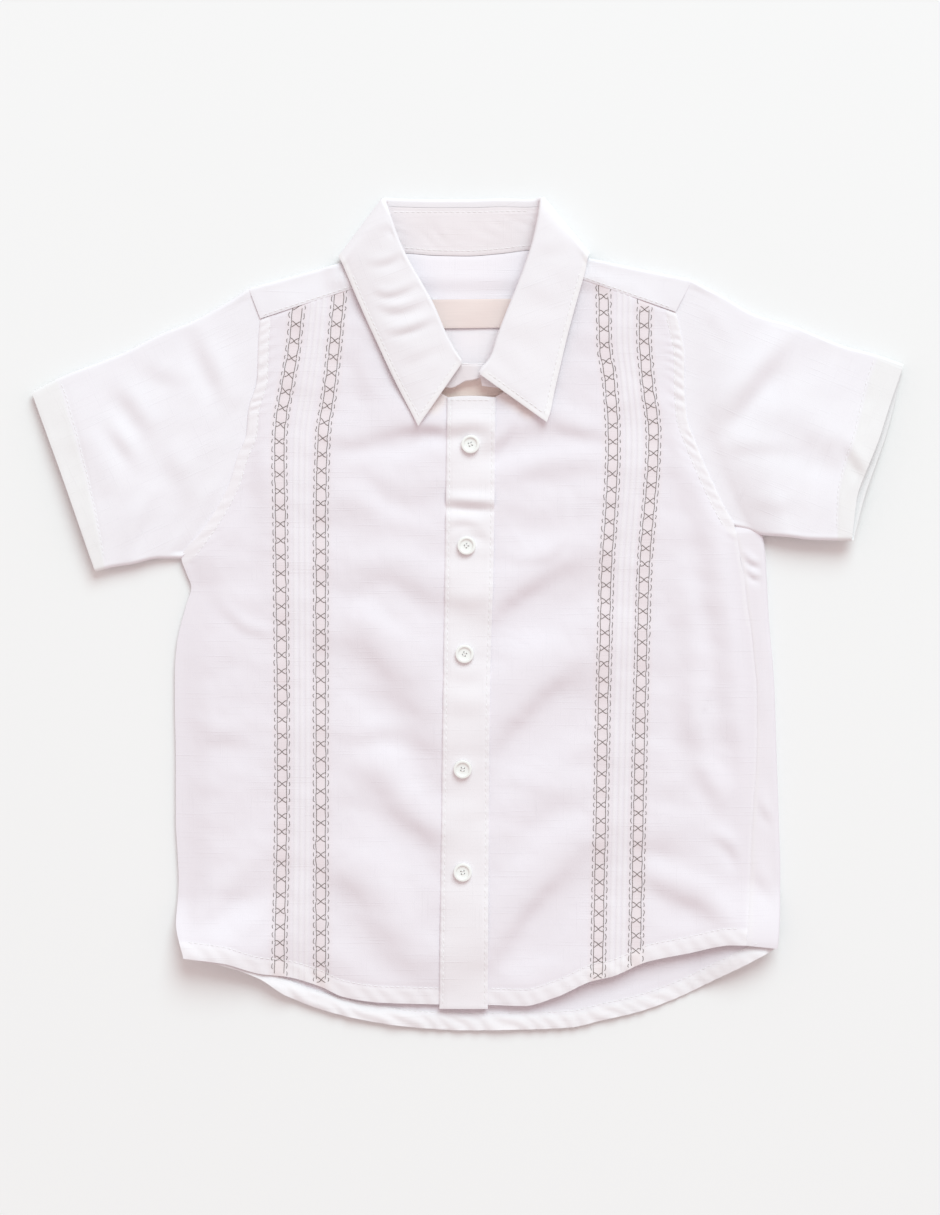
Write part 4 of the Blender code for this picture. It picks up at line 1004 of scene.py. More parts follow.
def back_piece():
    """The back below the yoke, turned up over the right edge to the side seam."""
    left_rows = [armhole_at_seam(LEFT_ARMHOLE)]
    left_rows += [row for row in LEFT_ARMHOLE if row[1] < BACK_YOKE_Y] + LEFT_SIDE
    right_rows = [armhole_at_seam(RIGHT_ARMHOLE)]
    right_rows += [row for row in RIGHT_ARMHOLE if TURN_TOP < row[1] < BACK_YOKE_Y]
    right_rows += [TURN_START, TURN_MIDDLE, BACK_UNDERARM] + RIGHT_OUTLINE
    seam_rows = [TURN_SEAM, RIGHT_UNDERARM] + RIGHT_SEAM
    rows, columns, wrap_first = 200, 150, 62
    wrap_share = travel_share(right_rows, TURN_START)
    level = np.concatenate([np.linspace(0, wrap_share, wrap_first, endpoint=False),
                            np.linspace(wrap_share, 1, rows - wrap_first)])
    left = travel(left_rows, level)
    right = travel(right_rows, level)
    wrap = (level[wrap_first:] - wrap_share) / (1 - wrap_share)
    seam = travel(seam_rows, wrap)
    lift = corner_lift(right[wrap_first:, 0], right[wrap_first:, 1])
    radius = (front_height(seam[:, 0], seam[:, 1]) - FLOOR_LAYER - lift) / 2
    radius *= 1 - 0.45 * ease((seam[:, 1] - 41) / 5)
    across = np.linspace(0, 1, columns)
    x = mix(left[:, :1], right[:, :1], across)
    y = mix(left[:, 1:], right[:, 1:], across)
    x[wrap_first:, -1] -= radius
    chord = mix(left_rows[-1][1], right_rows[-1][1], across)
    y += (read(BACK_HEM, x[-1]) - chord) * ease((-55 - left[:, 1:]) / 105)
    above_hem = y - read(BACK_HEM, x)
    band = ease((HEM_BAND - above_hem) / 1.2)
    ripple = np.sin((x * 0.8 + y * 1.2) * math.tau / 8.8 + 3.4 * unevenness(x, y, 34, 53))
    clear = ease((front_hem(x) - y - 0.5) / 6)
    z = FLOOR_LAYER + corner_lift(x, y)
    z += band * (0.35 + 0.48 * ripple * clear)
    z -= 0.25 * bell(above_hem - HEM_BAND, 0.9)
    z += clear * ease((16 - above_hem) / 12) * (1.7 + 0.9 * unevenness(x, y, 50, 57))
    z += 0.12 * (1 + unevenness(x, y, 40, 54))
    z = np.maximum(z, 0.45)
    z[:, -3:] = FLOOR_LAYER + corner_lift(x[:, -3:], y[:, -3:])
    points = list(np.stack([x, y, z], axis=-1).reshape(-1, 3))
    zone = list(np.clip(band, 0, 1).ravel())
    quads = grid_quads(rows, columns).tolist()
    turns = np.radians(np.linspace(-90, 90, 13))[1:]
    previous = None
    for row in range(wrap_first, rows):
        bend, outline = radius[row - wrap_first], right[row]
        foot = FLOOR_LAYER + lift[row - wrap_first]
        chain = [row * columns + columns - 1]
        for turn in turns:
            chain.append(len(points))
            points.append((outline[0] - bend + bend * math.cos(turn), outline[1],
                           foot + bend + bend * math.sin(turn)))
            zone.append(0.0)
        last = np.array(points[-1])
        target = np.array([*seam[row - wrap_first], foot + 2 * bend])
        for share in np.linspace(0, 1, 15)[1:]:
            place = mix(last, target, share)
            wave = 0.3 * float(unevenness(place[0], place[1], 30, 55))
            wave += float(fold_height(UNDERARM_FOLDS, place[0], place[1]))
            wave *= math.sin(math.pi * share)
            place = place + np.array([0, 0, wave - 0.35 * ease((share - 0.8) / 0.2)])
            chain.append(len(points))
            points.append(place)
            zone.append(0.15 + 0.45 * float(ease((share - 0.75) / 0.1)))
        if previous:
            quads += zip(previous, chain, chain[1:], previous[1:])
        previous = chain
    points = np.array([np.array(point, float) for point in points])
    none = np.zeros(len(points))
    piece = cloth("back_panel", points, cotton("body_cotton"), quads=np.array(quads),
                  zones=(np.array(zone), none, painted_warm_shade(points[:, 0], points[:, 1])))
    return settle(piece, "cotton", "back")


def travel_share(rows, point):
    """The share of a line's length at one of its points."""
    index = rows.index(point)
    return line_length(rows[:index + 1]) / line_length(rows)


def shoulder_columns(edge_start, edge_end, seam):
    """Columns along a shoulder: each one's place on the edge and on the front seam."""
    places = []
    for index in range(YOKE_STEPS):
        share = index / (YOKE_STEPS - 1)
        places.append((mix(np.array(edge_start), np.array(edge_end), share),
                       mix(np.array(seam[0]), np.array(seam[1]), share)))
    return places


def over_shoulder(edge, front_seam, inward, foot):
    """The yoke's points from the back's top, round the shoulder's edge, to the front seam."""
    points = []
    for turn in np.radians(np.linspace(-90, 90, 11))[1:]:
        place = edge + inward * (EDGE_RADIUS - EDGE_RADIUS * math.cos(turn))
        points.append((*place, foot + EDGE_RADIUS + EDGE_RADIUS * math.sin(turn)))
    top = np.array(points[-1])
    for share in np.linspace(0, 1, 17)[1:]:
        place = mix(top[:2], front_seam, share)
        x, y = place
        level = mix(top[2], float(front_height(x, y)) + 0.35, float(ease(share)))
        fading = math.sin(math.pi * share)
        level += 0.1 * float(unevenness(x, y, 14, 62)) * fading
        level += 0.3 * bell(abs(x) - 62, 8) * math.sin(x * 1.9) * fading
        points.append((*place, level))
    return points


def yoke_piece():
    """The yoke: flat across the back, folded over both shoulders to the front seams."""
    columns = shoulder_columns(LEFT_ARMHOLE[0], LEFT_NECK_POINT, LEFT_YOKE_SEAM)
    columns += [(place, None) for place in travel(BACK_NECK, np.linspace(0, 1, 60))]
    columns += shoulder_columns(RIGHT_NECK_POINT, RIGHT_ARMHOLE[0], RIGHT_YOKE_SEAM)
    levels = np.linspace(0, 1, YOKE_STEPS)
    left_line = travel(above_yoke_seam(LEFT_ARMHOLE), levels)
    right_line = travel(above_yoke_seam(RIGHT_ARMHOLE), levels)
    (left_x, left_y), (right_x, right_y) = LEFT_ARMHOLE[0], RIGHT_ARMHOLE[0]
    points, quads, chains = [], [], []
    for edge, front_seam in columns:
        across = (edge[0] - left_x) / (right_x - left_x)
        chord_top = mix(left_y, right_y, across)
        line = mix(left_line, right_line, across)[::-1].copy()
        rise = (line[:, 1] - BACK_YOKE_Y) / (chord_top - BACK_YOKE_Y)
        line[:, 1] += (edge[1] - chord_top) * rise
        if front_seam is not None:
            inward = unit(front_seam - edge)
            line = line[line[:, 1] < edge[1] - EDGE_RADIUS * 0.7]
            line = travel(line, levels)
            line[-1] = edge + inward * EDGE_RADIUS
        x, y = line[:, 0], line[:, 1]
        height = FLOOR_LAYER + LAYER * step_over_fall(x, y)
        height = height + 0.12 * (1 + unevenness(x, y, 30, 61)) * ease((180 - y) / 10)
        column = list(zip(x, y, height))
        if front_seam is not None:
            column += over_shoulder(edge, front_seam, inward, height[-1])
        chains.append(range(len(points), len(points) + len(column)))
        points += column
    for before, after in zip(chains, chains[1:]):
        quads += zip(before, before[1:], after[1:], after)
    points = np.array(points)
    x, y = points[:, 0], points[:, 1]
    # Where the yoke takes its painted light, inside the collar
    inside = ease((46 - np.abs(x)) / 6)
    piece = cloth("shoulder_yoke", points, cotton("yoke_cotton"), quads=np.array(quads)[:, ::-1],
                  zones=(inside, np.zeros(len(points)), painted_warm_shade(x, y)))
    return settle(piece, "cotton", "yoke")


# The sleeves: the points round half an edge, and where the hem's stitching lies between the
# armhole, 0, and the cuff, 1
SLEEVE_TURNS = 7
SLEEVE_HEM_ROW = 0.872


def sleeve_lift(right, station, across):
    """How far the sleeve's lower layer stands off the floor."""
    if right:
        return 6.5 * ease((station - 0.08) / 0.4) * across ** 1.5 + 0.8 * ease((station - 0.5) / 0.5)
    return 2.4 * ease(station / 0.5) * across ** 1.5 + 0.8 * ease((station - 0.4) / 0.6)


def sleeve_plan(top_edge, under_edge, cuff, station, steps):
    """A sleeve in plan: points at stations from armhole to cuff, and at steps down from its top."""
    armhole = LEFT_ARMHOLE if top_edge is LEFT_SLEEVE_TOP else RIGHT_ARMHOLE
    level = station[:, None, None]
    top = travel(top_edge, station)[:, None] - mix(np.array(top_edge[0]), np.array(top_edge[-1]), level)
    under = travel(under_edge, station)[:, None]
    under = under - mix(np.array(under_edge[0]), np.array(under_edge[-1]), level)
    place = mix(travel(armhole, steps)[None], travel(cuff, steps)[None], level)
    return place + top * (1 - steps)[:, None] + under * steps[:, None]


def sleeve_layer(place, steps, station, right, upper):
    """One layer of a sleeve, from one folded edge to the other, with its height."""
    turns = np.radians(np.linspace(0, 90, SLEEVE_TURNS))
    near, far = unit(place[:, 2] - place[:, 0]), unit(place[:, -3] - place[:, -1])
    keep = (np.linalg.norm(place - place[:, :1], axis=2).min(0) > EDGE_RADIUS * 1.15)
    keep &= (np.linalg.norm(place - place[:, -1:], axis=2).min(0) > EDGE_RADIUS * 1.15)
    reach = EDGE_RADIUS * (1 - np.cos(turns))[:, None]
    head = place[:, :1] + near[:, None] * reach
    tail = place[:, -1:] + far[:, None] * reach[::-1]
    line = np.concatenate([head, place[:, keep], tail], axis=1)
    across = np.concatenate([np.zeros(len(turns)), steps[keep], np.ones(len(turns))])[None]
    x, y = line[..., 0], line[..., 1]
    low = FLOOR_LAYER + sleeve_lift(right, station, across)
    hump = np.sin(math.pi * across)
    high = low + 2 * EDGE_RADIUS + SLEEVE_PUFF * hump * ease(station / 0.3)
    folds = RIGHT_SLEEVE_FOLDS if right else LEFT_SLEEVE_FOLDS
    high = high + fold_height(folds, x, y) * np.sqrt(np.maximum(0, hump))
    high = np.maximum(low + SLEEVE_LEAST, np.minimum(low + SLEEVE_MOST, high))
    inside = (across > 0) & (across < 1)
    high = np.where(inside, mix(front_height(x, y) - 0.75, high, ease(station / 0.2)), high)
    if upper:
        detail = 0.22 * unevenness(x, y, 34, 71 if right else 72) + 0.09 * unevenness(x, y, 13, 73)
        hem = sleeve_hem(station)
        detail = detail + 0.25 * hem - 0.3 * bell(station - SLEEVE_HEM_ROW, 0.01)
        detail = detail + 0.07 * hem * unevenness(x, y, 9, 74)
        high = high + detail * np.sqrt(np.maximum(0, hump))
    bulge = np.ones(line.shape[1])
    bulge[:len(turns)] = np.sin(turns)
    bulge[-len(turns):] = np.sin(turns[::-1])
    middle, half = (low + high) / 2, (high - low) / 2
    z = middle + half * bulge if upper else middle - half * bulge
    return np.concatenate([line, z[..., None]], axis=2)


def sleeve_hem(station):
    """1 on a sleeve's turned hem and 0 before it."""
    return ease((station - 0.875) / 0.012)


def sleeve_piece(name, right):
    """A sleeve as a flattened tube, open at the cuff, folded at both edges."""
    edges = (RIGHT_SLEEVE_TOP, RIGHT_SLEEVE_UNDER) if right else (LEFT_SLEEVE_TOP, LEFT_SLEEVE_UNDER)
    cuffs = (RIGHT_CUFF_FRONT, RIGHT_CUFF_BACK) if right else (LEFT_CUFF, LEFT_CUFF)
    stations, steps = np.linspace(0, 1, 92), np.linspace(0, 1, 90)
    station = stations[:, None]
    tuck_under = 1.8 * (1 - ease(station / 0.05))
    rings = []
    for cuff, upper in zip(cuffs, (True, False)):
        ring = sleeve_layer(sleeve_plan(*edges, cuff, stations, steps), steps, station, right, upper)
        ring[:, SLEEVE_TURNS:-SLEEVE_TURNS, 0] += -tuck_under if right else tuck_under
        rings.append(ring)
    upper_ring, lower_ring = rings
    crest = (upper_ring[:, :1] + lower_ring[:, :1]) / 2
    foot = (upper_ring[:, -1:] + lower_ring[:, -1:]) / 2
    ring = np.concatenate([crest, upper_ring[:, 1:-1], foot, lower_ring[:, 1:-1][:, ::-1]], axis=1)
    count, size = ring.shape[:2]
    index = np.arange(size)
    after = (index + 1) % size
    near = (np.arange(count - 1) * size)[:, None]
    quads = np.stack([near + index, near + after, near + size + after, near + size + index], axis=-1)
    quads = quads.reshape(-1, 4)
    if not right:
        quads = quads[:, ::-1]
    piece = cloth(name, ring.reshape(-1, 3), cotton("sleeve_cotton"), quads=quads,
                  grain=-22 if right else 25,
                  zones=(np.broadcast_to(sleeve_hem(station), (count, size)),))
    return settle(piece, "cotton", "sleeve_right" if right else "sleeve_left")


# The collar

def collar_pieces():
    """The stand, and the fall that rolls over its upper edge into two pointed leaves."""
    last = len(COLLAR) - 1
    at = np.linspace(0, last, last * BETWEEN_ROWS + 1)
    table = [(key, *row) for key, row in enumerate(COLLAR)]
    values = np.stack([read(table, at, column) for column in range(1, len(table[0]))], axis=-1)
    seam, roll, free = values[:, 0:3], values[:, 3:6], values[:, 6:9].copy()
    on_front = ease(1.2 - np.abs(values[:, 9]) / 40)
    tip = np.minimum(at, last - at)
    free[:, 2] -= on_front * (0.5 + 1.2 * ease((tip - 0.5) / 2.5))
    free[:, 2] += 0.9 * ease(1 - tip / 1.5)
    roll = roll + np.array([0, 0, 1.2]) * ease(1 - tip / 1.5)[:, None]
    turn = np.radians(values[:, 9])[:, None]
    rise = unit(roll - seam)
    level = unit(rise * np.array([1, 1, 0]))
    outward = np.stack([-level[:, 1], level[:, 0], np.zeros(len(level))], axis=-1)
    outward[outward[:, 0] * roll[:, 0] < 0] *= -1
    over = np.array([0, 0, 1]) * np.cos(turn) + outward * np.sin(turn)
    over = unit(over - rise * (over * rise).sum(1, keepdims=True))
    share = np.linspace(0, 1, STAND_STEPS)
    crossing = np.array(CROSSING)
    stand_seam = np.concatenate([crossing[:, :3], seam])
    stand_roll = np.concatenate([crossing[:, 3:], roll])
    stand_turn = np.concatenate([np.zeros(len(crossing)), values[:, 9]])
    stand = mix(stand_seam[:, None], stand_roll[:, None], share[None, :, None])
    x, y = stand[..., 0], stand[..., 1]
    backness = ease((stand_turn - 120) / 50)[:, None]
    wrinkle = np.sin((x * 0.8 + y * 1.1) * math.tau / 9.5 + 3 * unevenness(x, y, 22, 81))
    wrinkle = 0.5 * wrinkle * np.abs(unevenness(x, y, 30, 82)) + 0.8 * unevenness(x, y, 26, 84)
    stand[..., 2] += backness * 0.3 * wrinkle * np.sin(math.pi * share)[None]
    stand[..., 2] -= 0.25 * bell(share - 0.93, 0.035)[None]
    # The stand's zones: firm cloth, no cell, and a little painted warm shade
    zones = [np.full(x.shape, level) for level in (0.6, 0.0, 0.12)]
    piece = cloth("stand_of_collar", stand, cotton("firm_cotton"), thickness=sizes().collar_cloth,
                  zones=zones)
    settle(piece, "cotton", "collar_stand")
    reach = ROLL_REACH + BACK_ROLL_REACH * np.sin(turn / 2) ** 2
    centre = roll + rise * (0.3 + reach) + over * ROLL_RADIUS
    lines = [roll + rise * 0.1]
    for swing in np.radians(np.linspace(-90, 90, 13)):
        lines.append(centre + (rise * math.cos(swing) + over * math.sin(swing)) * ROLL_RADIUS)
    start = lines[-1]
    leaf = np.linspace(0, 1, LEAF_STEPS)[1:]
    first_leaf = len(lines)
    for part in leaf:
        lines.append(mix(start, free, part))
    fall = np.stack(lines, axis=1)
    x, y = fall[:, first_leaf:, 0], fall[:, first_leaf:, 1]
    on_top = ease((60 - values[:, 9]) / 50)[:, None]
    width = np.linalg.norm(free - start, axis=1)[:, None]
    from_edge = (1 - leaf)[None] * width
    ends = np.concatenate([[0], np.cumsum(np.linalg.norm(np.diff((start + free) / 2, axis=0), axis=1))])
    from_end = np.minimum(ends, ends[-1] - ends)[:, None]
    bulge = 0.9 * np.sin(math.pi * leaf)[None] * ease(from_end / 14)
    sewn = np.minimum(from_edge, from_end)
    lift = bulge + fold_height(LEAF_FOLDS, x, y) * ease(from_edge / 10)
    lift = lift - 0.14 * bell(sewn - LEAF_ROW, 1.1) + 0.12 * unevenness(x, y, 20, 83)
    lift = lift + 0.08 * np.sin(ends[:, None] * math.tau / 5.3) * bell(sewn - 1.5, 1.5)
    fall[:, first_leaf:, 2] += lift * on_top
    edge_zone = np.zeros(fall.shape[:2])
    edge_zone[:, first_leaf:] = 0.5 * ease((3.3 - sewn) / 0.8)
    piece = cloth("leaf_of_collar", fall, cotton("collar_cotton"), thickness=sizes().collar_cloth,
                  zones=(edge_zone,), grain=20)
    settle(piece, "cotton", "collar_fall")
    return fall, first_leaf


def label_piece():
    """The blank label inside the back yoke."""
    share_x, share_y = np.meshgrid(np.linspace(-0.5, 0.5, 60), np.linspace(0.5, -0.5, 24))
    x = LABEL_CENTRE[0] + LABEL_SIZE[0] * share_x
    y = LABEL_CENTRE[1] + LABEL_SIZE[1] * share_y + 0.5 * share_x
    z = np.full(x.shape, 2.0) + 0.25 * np.cos(share_x * math.tau) * np.cos(share_y * math.pi)
    z += 0.15 * unevenness(x, y, 18, 91)
    piece = cloth("blank_label", np.stack([x, y, z], axis=-1), label_material("label_tape"),
                  thickness=0.5 * MM)
    return settle(piece, "label", "neck_label")


# Thread

# The fall's points, which the collar's stitching follows
COLLAR_FALL = {}

# Stitching along the collar's stand, and the tacks that hold the label: x, y
STAND_ROWS = (
    [(-38, 208.2), (-16, 208.2), (0, 208.2), (16, 208.6), (34, 208.8)],
    [(-44, 188.4), (-33, 189.8), (-17, 188.6), (0, 188.3), (17, 189.4), (33, 191), (42, 190.2)])
LABEL_TACKS = ((-18, 163.3), (-17, 163.3), (-16, 163.2), (23.6, 149), (24.4, 149), (25, 149.2))

# Centre line of each ladder, y of its first crossing, and its pitch at the top and at the foot
LADDERS = (
    (LEFT_OUTER_LADDER, 158.8, 8.75, 8.1), (LEFT_INNER_LADDER, 158.6, 8.5, 8.1),
    (RIGHT_INNER_LADDER, 156.0, 8.4, 7.95), (RIGHT_OUTER_LADDER, 157.8, 8.35, 7.85))


def seam_stitches():
    """Stitching on the placket, armholes, hems, yoke seams and sleeves."""
    placket = tree_over("front_placket")
    sides = ([], [])
    for y in np.linspace(PLACKET_TOP - 2, PLACKET_FOOT + 1.5, 60):
        left, right = placket_edges(y)
        sides[0].append((left + PLACKET_ROW, y))
        sides[1].append((right - PLACKET_ROW, y))
    rows = stitches(placket, sides[0]) + stitches(placket, sides[1])
    left, right = placket_edges(PLACKET_TOP)
    rows += stitches(placket, [(left + 1.8, PLACKET_TOP - 1.6), (right - 1.8, PLACKET_TOP - 1.4)])
    fronts = tree_over("left_front", "right_front")
    for armhole, side in ((LEFT_ARMHOLE, -ARMHOLE_ROW), (RIGHT_ARMHOLE, ARMHOLE_ROW)):
        fine = travel(armhole[1:], np.linspace(0.02, 0.99, 60))
        rows += stitches(fronts, moved_aside(fine, side))
    hems = ((fronts, LEFT_HEM, -144, -14, 50), (fronts, RIGHT_HEM, 12, 142, 50),
            (tree_over("back_panel"), BACK_HEM, -140, 152, 90))
    for tree, hem, first, last, count in hems:
        xs = np.linspace(first, last, count)
        rows += stitches(tree, [(x, float(read(hem, x)) + HEM_BAND) for x in xs])
    yoke = tree_over("shoulder_yoke")
    for seam in (LEFT_YOKE_SEAM, RIGHT_YOKE_SEAM):
        rows += stitches(yoke, travel(seam, np.linspace(0.03, 0.97, 20)) + np.array([0, 1.3]))
    sleeves = tree_over("left_sleeve", "right_sleeve")
    for edges in ((LEFT_SLEEVE_TOP, LEFT_SLEEVE_UNDER, LEFT_CUFF),
                  (RIGHT_SLEEVE_TOP, RIGHT_SLEEVE_UNDER, RIGHT_CUFF_FRONT)):
        line = sleeve_plan(*edges, np.array([SLEEVE_HEM_ROW]), np.linspace(0.03, 0.97, 40))[0]
        rows += stitches(sleeves, line)
    return rows


def collar_stitches():
    """Stitching round the collar's leaves and along its stand, and the label's tacks."""
    leaf = COLLAR_FALL["points"][:, COLLAR_FALL["first_leaf"]:, :2]
    inset = leaf[:, -1] - unit(leaf[:, -1] - leaf[:, 0]) * LEAF_ROW
    tree = tree_over("leaf_of_collar")
    half = len(leaf) // 2
    rows = []
    for part, ends in ((inset[:half], leaf[:half]), (inset[half:][::-1], leaf[half:][::-1])):
        rows += stitches(tree, part[4:62])
        front_edge = ends[0, :-3]
        ahead = unit(ends[BETWEEN_ROWS, :-3] - front_edge)
        rows += stitches(tree, (front_edge + ahead * LEAF_ROW)[2:])
    stand = tree_over("stand_of_collar")
    for line in STAND_ROWS:
        rows += stitches(stand, line)
    label = tree_over("blank_label", "shoulder_yoke")
    for x, y in LABEL_TACKS:
        tack = laid_on(label, [(x, y - 0.9), (x, y), (x, y + 0.9)], (-0.1, 0.15, -0.1))
        rows += [tack] if tack else []
    return rows


def topstitching():
    """The white rows of stitching on the collar, placket, armholes, yoke and hems."""
    thread = thread_lines("topstitching", seam_stitches() + collar_stitches(), sizes().sewing_thread,
                          sewing_thread())
    return settle(thread, "cotton")


def cell_strokes(half):
    """The threads of one cell of a ladder, as points across and along it from the cell's middle.

    Half is half the distance between two cells: the crossing between them lies there.
    """
    strokes = (
        [(2.3, -half + 0.1), (2.45, -half + 2.2), (2.45, half - 2.2), (2.3, half - 0.1)],
        [(2.2, half - 1.5), (1.1, half - 0.95), (-1.1, half + 0.95), (-2.2, half + 1.5)],
        [(3.65, half - 1.05), (3.9, half - 0.35), (3.9, half + 0.35), (3.65, half + 1.05)],
        [(3.6, -1.5), (3.9, -0.5), (3.8, 0.6), (3.4, 1.5)])
    return [np.array(stroke) * (side, 1) for side in (-1, 1) for stroke in strokes]


def embroidery():
    """The four ladders, laid on the fronts."""
    tree = tree_over("left_front", "right_front")
    width = sizes().embroidery_thread / MM
    lines = []
    chance = np.random.default_rng(95)
    for rows, first, pitch_top, pitch_foot in LADDERS:
        lowest = min(key for key, _ in rows)
        crossing = first + 2 * pitch_top
        while crossing > lowest - 6:
            pitch = mix(pitch_top, pitch_foot, min(1, max(0, (160 - crossing) / 345)))
            middle = crossing - pitch / 2
            slope = float(read(rows, middle - 2) - read(rows, middle + 2)) / 4
            aside = np.array([1, slope]) / math.hypot(slope, 1)
            for stroke in cell_strokes(pitch / 2):
                plan = []
                for across, along in stroke + chance.normal(0, 0.11, stroke.shape):
                    y = middle - along
                    plan.append((float(read(rows, y)) + across * aside[0], y + across * aside[1]))
                count = max(4, int(line_length(plan) / 0.5))
                lifts = np.full(count, width * 0.32)
                lifts[0] = lifts[-1] = -width * 0.2
                row = laid_on(tree, travel(plan, np.linspace(0, 1, count)), lifts)
                if row:
                    lines.append(row)
            crossing -= pitch
    material = thread_material("embroidery_thread", colour=colours().embroidery_thread, roughness=0.75)
    thread = thread_lines("ladder_embroidery", lines, sizes().embroidery_thread, material)
    return settle(thread, "cotton")


# Buttons: the steps from the rim to the middle, each an inset in radii and a rise in heights, the
# distance of the holes from the middle in radii, and how far each is turned past the one before
BUTTON_STEPS = ((0.17, 0.05), (0.1, -0.02), (0.08, -0.36), (0.12, -0.06), (0.25, 0))
HOLE_PLACE = 0.15
BUTTON_TURN = 0.35


def model_button():
    """One button at the origin: a rounded rim, a dish and four holes."""
    size = sizes()
    radius, height = size.button_radius, size.button_height
    pick()
    bpy.ops.mesh.primitive_cylinder_add(vertices=64, radius=radius, depth=height,
                                        location=(0, 0, height / 2))
    button = bpy.context.active_object
    bpy.ops.object.transform_apply(location=True)
    bpy.ops.object.mode_set(mode="EDIT")
    bpy.ops.mesh.select_all(action="DESELECT")
    bpy.ops.mesh.select_mode(type="FACE")
    shape = bmesh.from_edit_mesh(button.data)
    for face in shape.faces:
        face.select = face.normal.z > 0.9
    shape.select_flush_mode()
    bmesh.update_edit_mesh(button.data)
    for inset, rise in BUTTON_STEPS:
        bpy.ops.mesh.inset(thickness=radius * inset)
        bpy.ops.transform.translate(value=(0, 0, height * rise))
    bpy.ops.mesh.select_all(action="DESELECT")
    bpy.ops.mesh.select_mode(type="EDGE")
    shape = bmesh.from_edit_mesh(button.data)
    for edge in shape.edges:
        reach = [vertex.co.xy.length for vertex in edge.verts]
        level = [vertex.co.z for vertex in edge.verts]
        ring = abs(reach[0] - reach[1]) < radius * 0.01 and abs(level[0] - level[1]) < height * 0.01
        edge.select = ring and min(reach) > radius * 0.6
    bmesh.update_edit_mesh(button.data)
    bpy.ops.mesh.bevel(offset=radius * 0.055, segments=3, profile=0.5)
    bpy.ops.object.mode_set(mode="OBJECT")
    away = radius * HOLE_PLACE
    for x, y in ((away, away), (away, -away), (-away, away), (-away, -away)):
        pick()
        bpy.ops.mesh.primitive_cylinder_add(
            vertices=20, radius=radius * 0.085, depth=height * 3, location=(x, y, height / 2))
        cutter = bpy.context.active_object
        bpy.context.view_layer.objects.active = button
        modifier = button.modifiers.new("hole", "BOOLEAN")
        modifier.operation = "DIFFERENCE"
        modifier.object = cutter
        modifier.solver = "EXACT"
        bpy.ops.object.modifier_apply(modifier=modifier.name)
        bpy.data.objects.remove(cutter)
    pick(button)
    bpy.ops.object.shade_smooth_by_angle(angle=math.radians(35))
    return button


def buttons():
    """Five buttons on the placket, each with the thread that holds it."""
    model = model_button()
    tree = tree_over("front_placket")
    size = sizes()
    radius, height = size.button_radius / MM, size.button_height / MM
    lines = []
    for number, (x, y) in enumerate(BUTTONS, 1):
        reach = radius - 1.2
        ahead, behind = top_of(tree, x, y + reach), top_of(tree, x, y - reach)
        tilt = math.atan2(ahead - behind, 2 * reach)
        foot = max((ahead + behind) / 2, top_of(tree, x, y)) * MM
        place = Matrix.Translation((x * MM, y * MM, foot)) @ Matrix.Rotation(tilt, 4, "X")
        turned = place @ Matrix.Rotation(BUTTON_TURN * number, 4, "Z")
        mesh = model.data.copy()
        mesh.transform(turned)
        mesh.materials.clear()
        mesh.materials.append(pearl_material("pearl"))
        settle(placed(f"pearl_button_{number}", mesh), "pearl", f"button_{number}")
        inner = turned @ Matrix.Scale(MM, 4)
        hole, face = radius * HOLE_PLACE, height * 0.62
        arc = ((-1, -0.5), (-0.6, 0.12), (0, 0.22), (0.6, 0.12), (1, -0.5))
        for x in (-hole - 0.12, -hole + 0.12, hole - 0.12, hole + 0.12):
            lines.append([tuple((inner @ Vector((x, hole * along, face + rise))) / MM)
                          for along, rise in arc])
    bpy.data.objects.remove(model)
    thread = thread_lines("button_thread", lines, size.sewing_thread, sewing_thread())
    return settle(thread, "cotton")


# The stage

# In metres, from here on
CAMERA_MIDDLE = (1.3 * MM, 3.1 * MM)
CAMERA_HEIGHT = 1.6
FIELD_HEIGHT = 0.632
SENSOR = 36.0
LAMP_PLACE = (1.73, 5.53, 5.47)
LAMP_WIDTH = 5.7
LAMP_POWER = 466
LAMP_COLOUR = (0.735, 0.968, 0.99)
SKY_COLOUR = (1.0, 0.862, 0.845, 1)
SKY_STRENGTH = 0.705


def stage():
    """The floor, the soft light from above and behind the collar, and the camera overhead."""
    pick()
    bpy.ops.mesh.primitive_plane_add(size=6, location=(0, 0, 0))
    floor = bpy.context.active_object
    floor.name = "floor"
    floor.data.transform(Matrix.Translation((0, 0, -0.0001)))
    floor.data.materials.append(floor_material("floor"))
    scene = bpy.context.scene
    world = bpy.data.worlds.new("studio")
    world.use_nodes = True
    sky = world.node_tree.nodes["Background"]
    feed(world.node_tree, sky, in_Color=SKY_COLOUR, in_Strength=SKY_STRENGTH)
    scene.world = world
    key = bpy.data.lights.new("key", "AREA")
    key.shape = "DISK"
    key.size = LAMP_WIDTH
    key.energy = LAMP_POWER
    key.color = LAMP_COLOUR
    lamp = placed("key", key)
    lamp.location = LAMP_PLACE
    lamp.rotation_euler = (-lamp.location).to_track_quat("-Z", "Y").to_euler()
    camera = bpy.data.cameras.new("camera")
    camera.sensor_width = SENSOR
    camera.lens = SENSOR * CAMERA_HEIGHT / FIELD_HEIGHT
    camera.clip_start = 0.05
    camera.clip_end = 20
    eye = placed("camera", camera)
    eye.location = (*CAMERA_MIDDLE, CAMERA_HEIGHT)
    scene.camera = eye
    scene.view_settings.view_transform = "Standard"


# Operators, the panel and the run

class SHIRT_OT_back(bpy.types.Operator):
    """Add the back panel"""

    bl_idname = "shirt.back"
    bl_label = "Back"

    def execute(self, context):
        back_piece()
        return {"FINISHED"}


class SHIRT_OT_yoke(bpy.types.Operator):
    """Add the yoke over both shoulders"""

    bl_idname = "shirt.yoke"
    bl_label = "Yoke"

    def execute(self, context):
        yoke_piece()
        return {"FINISHED"}


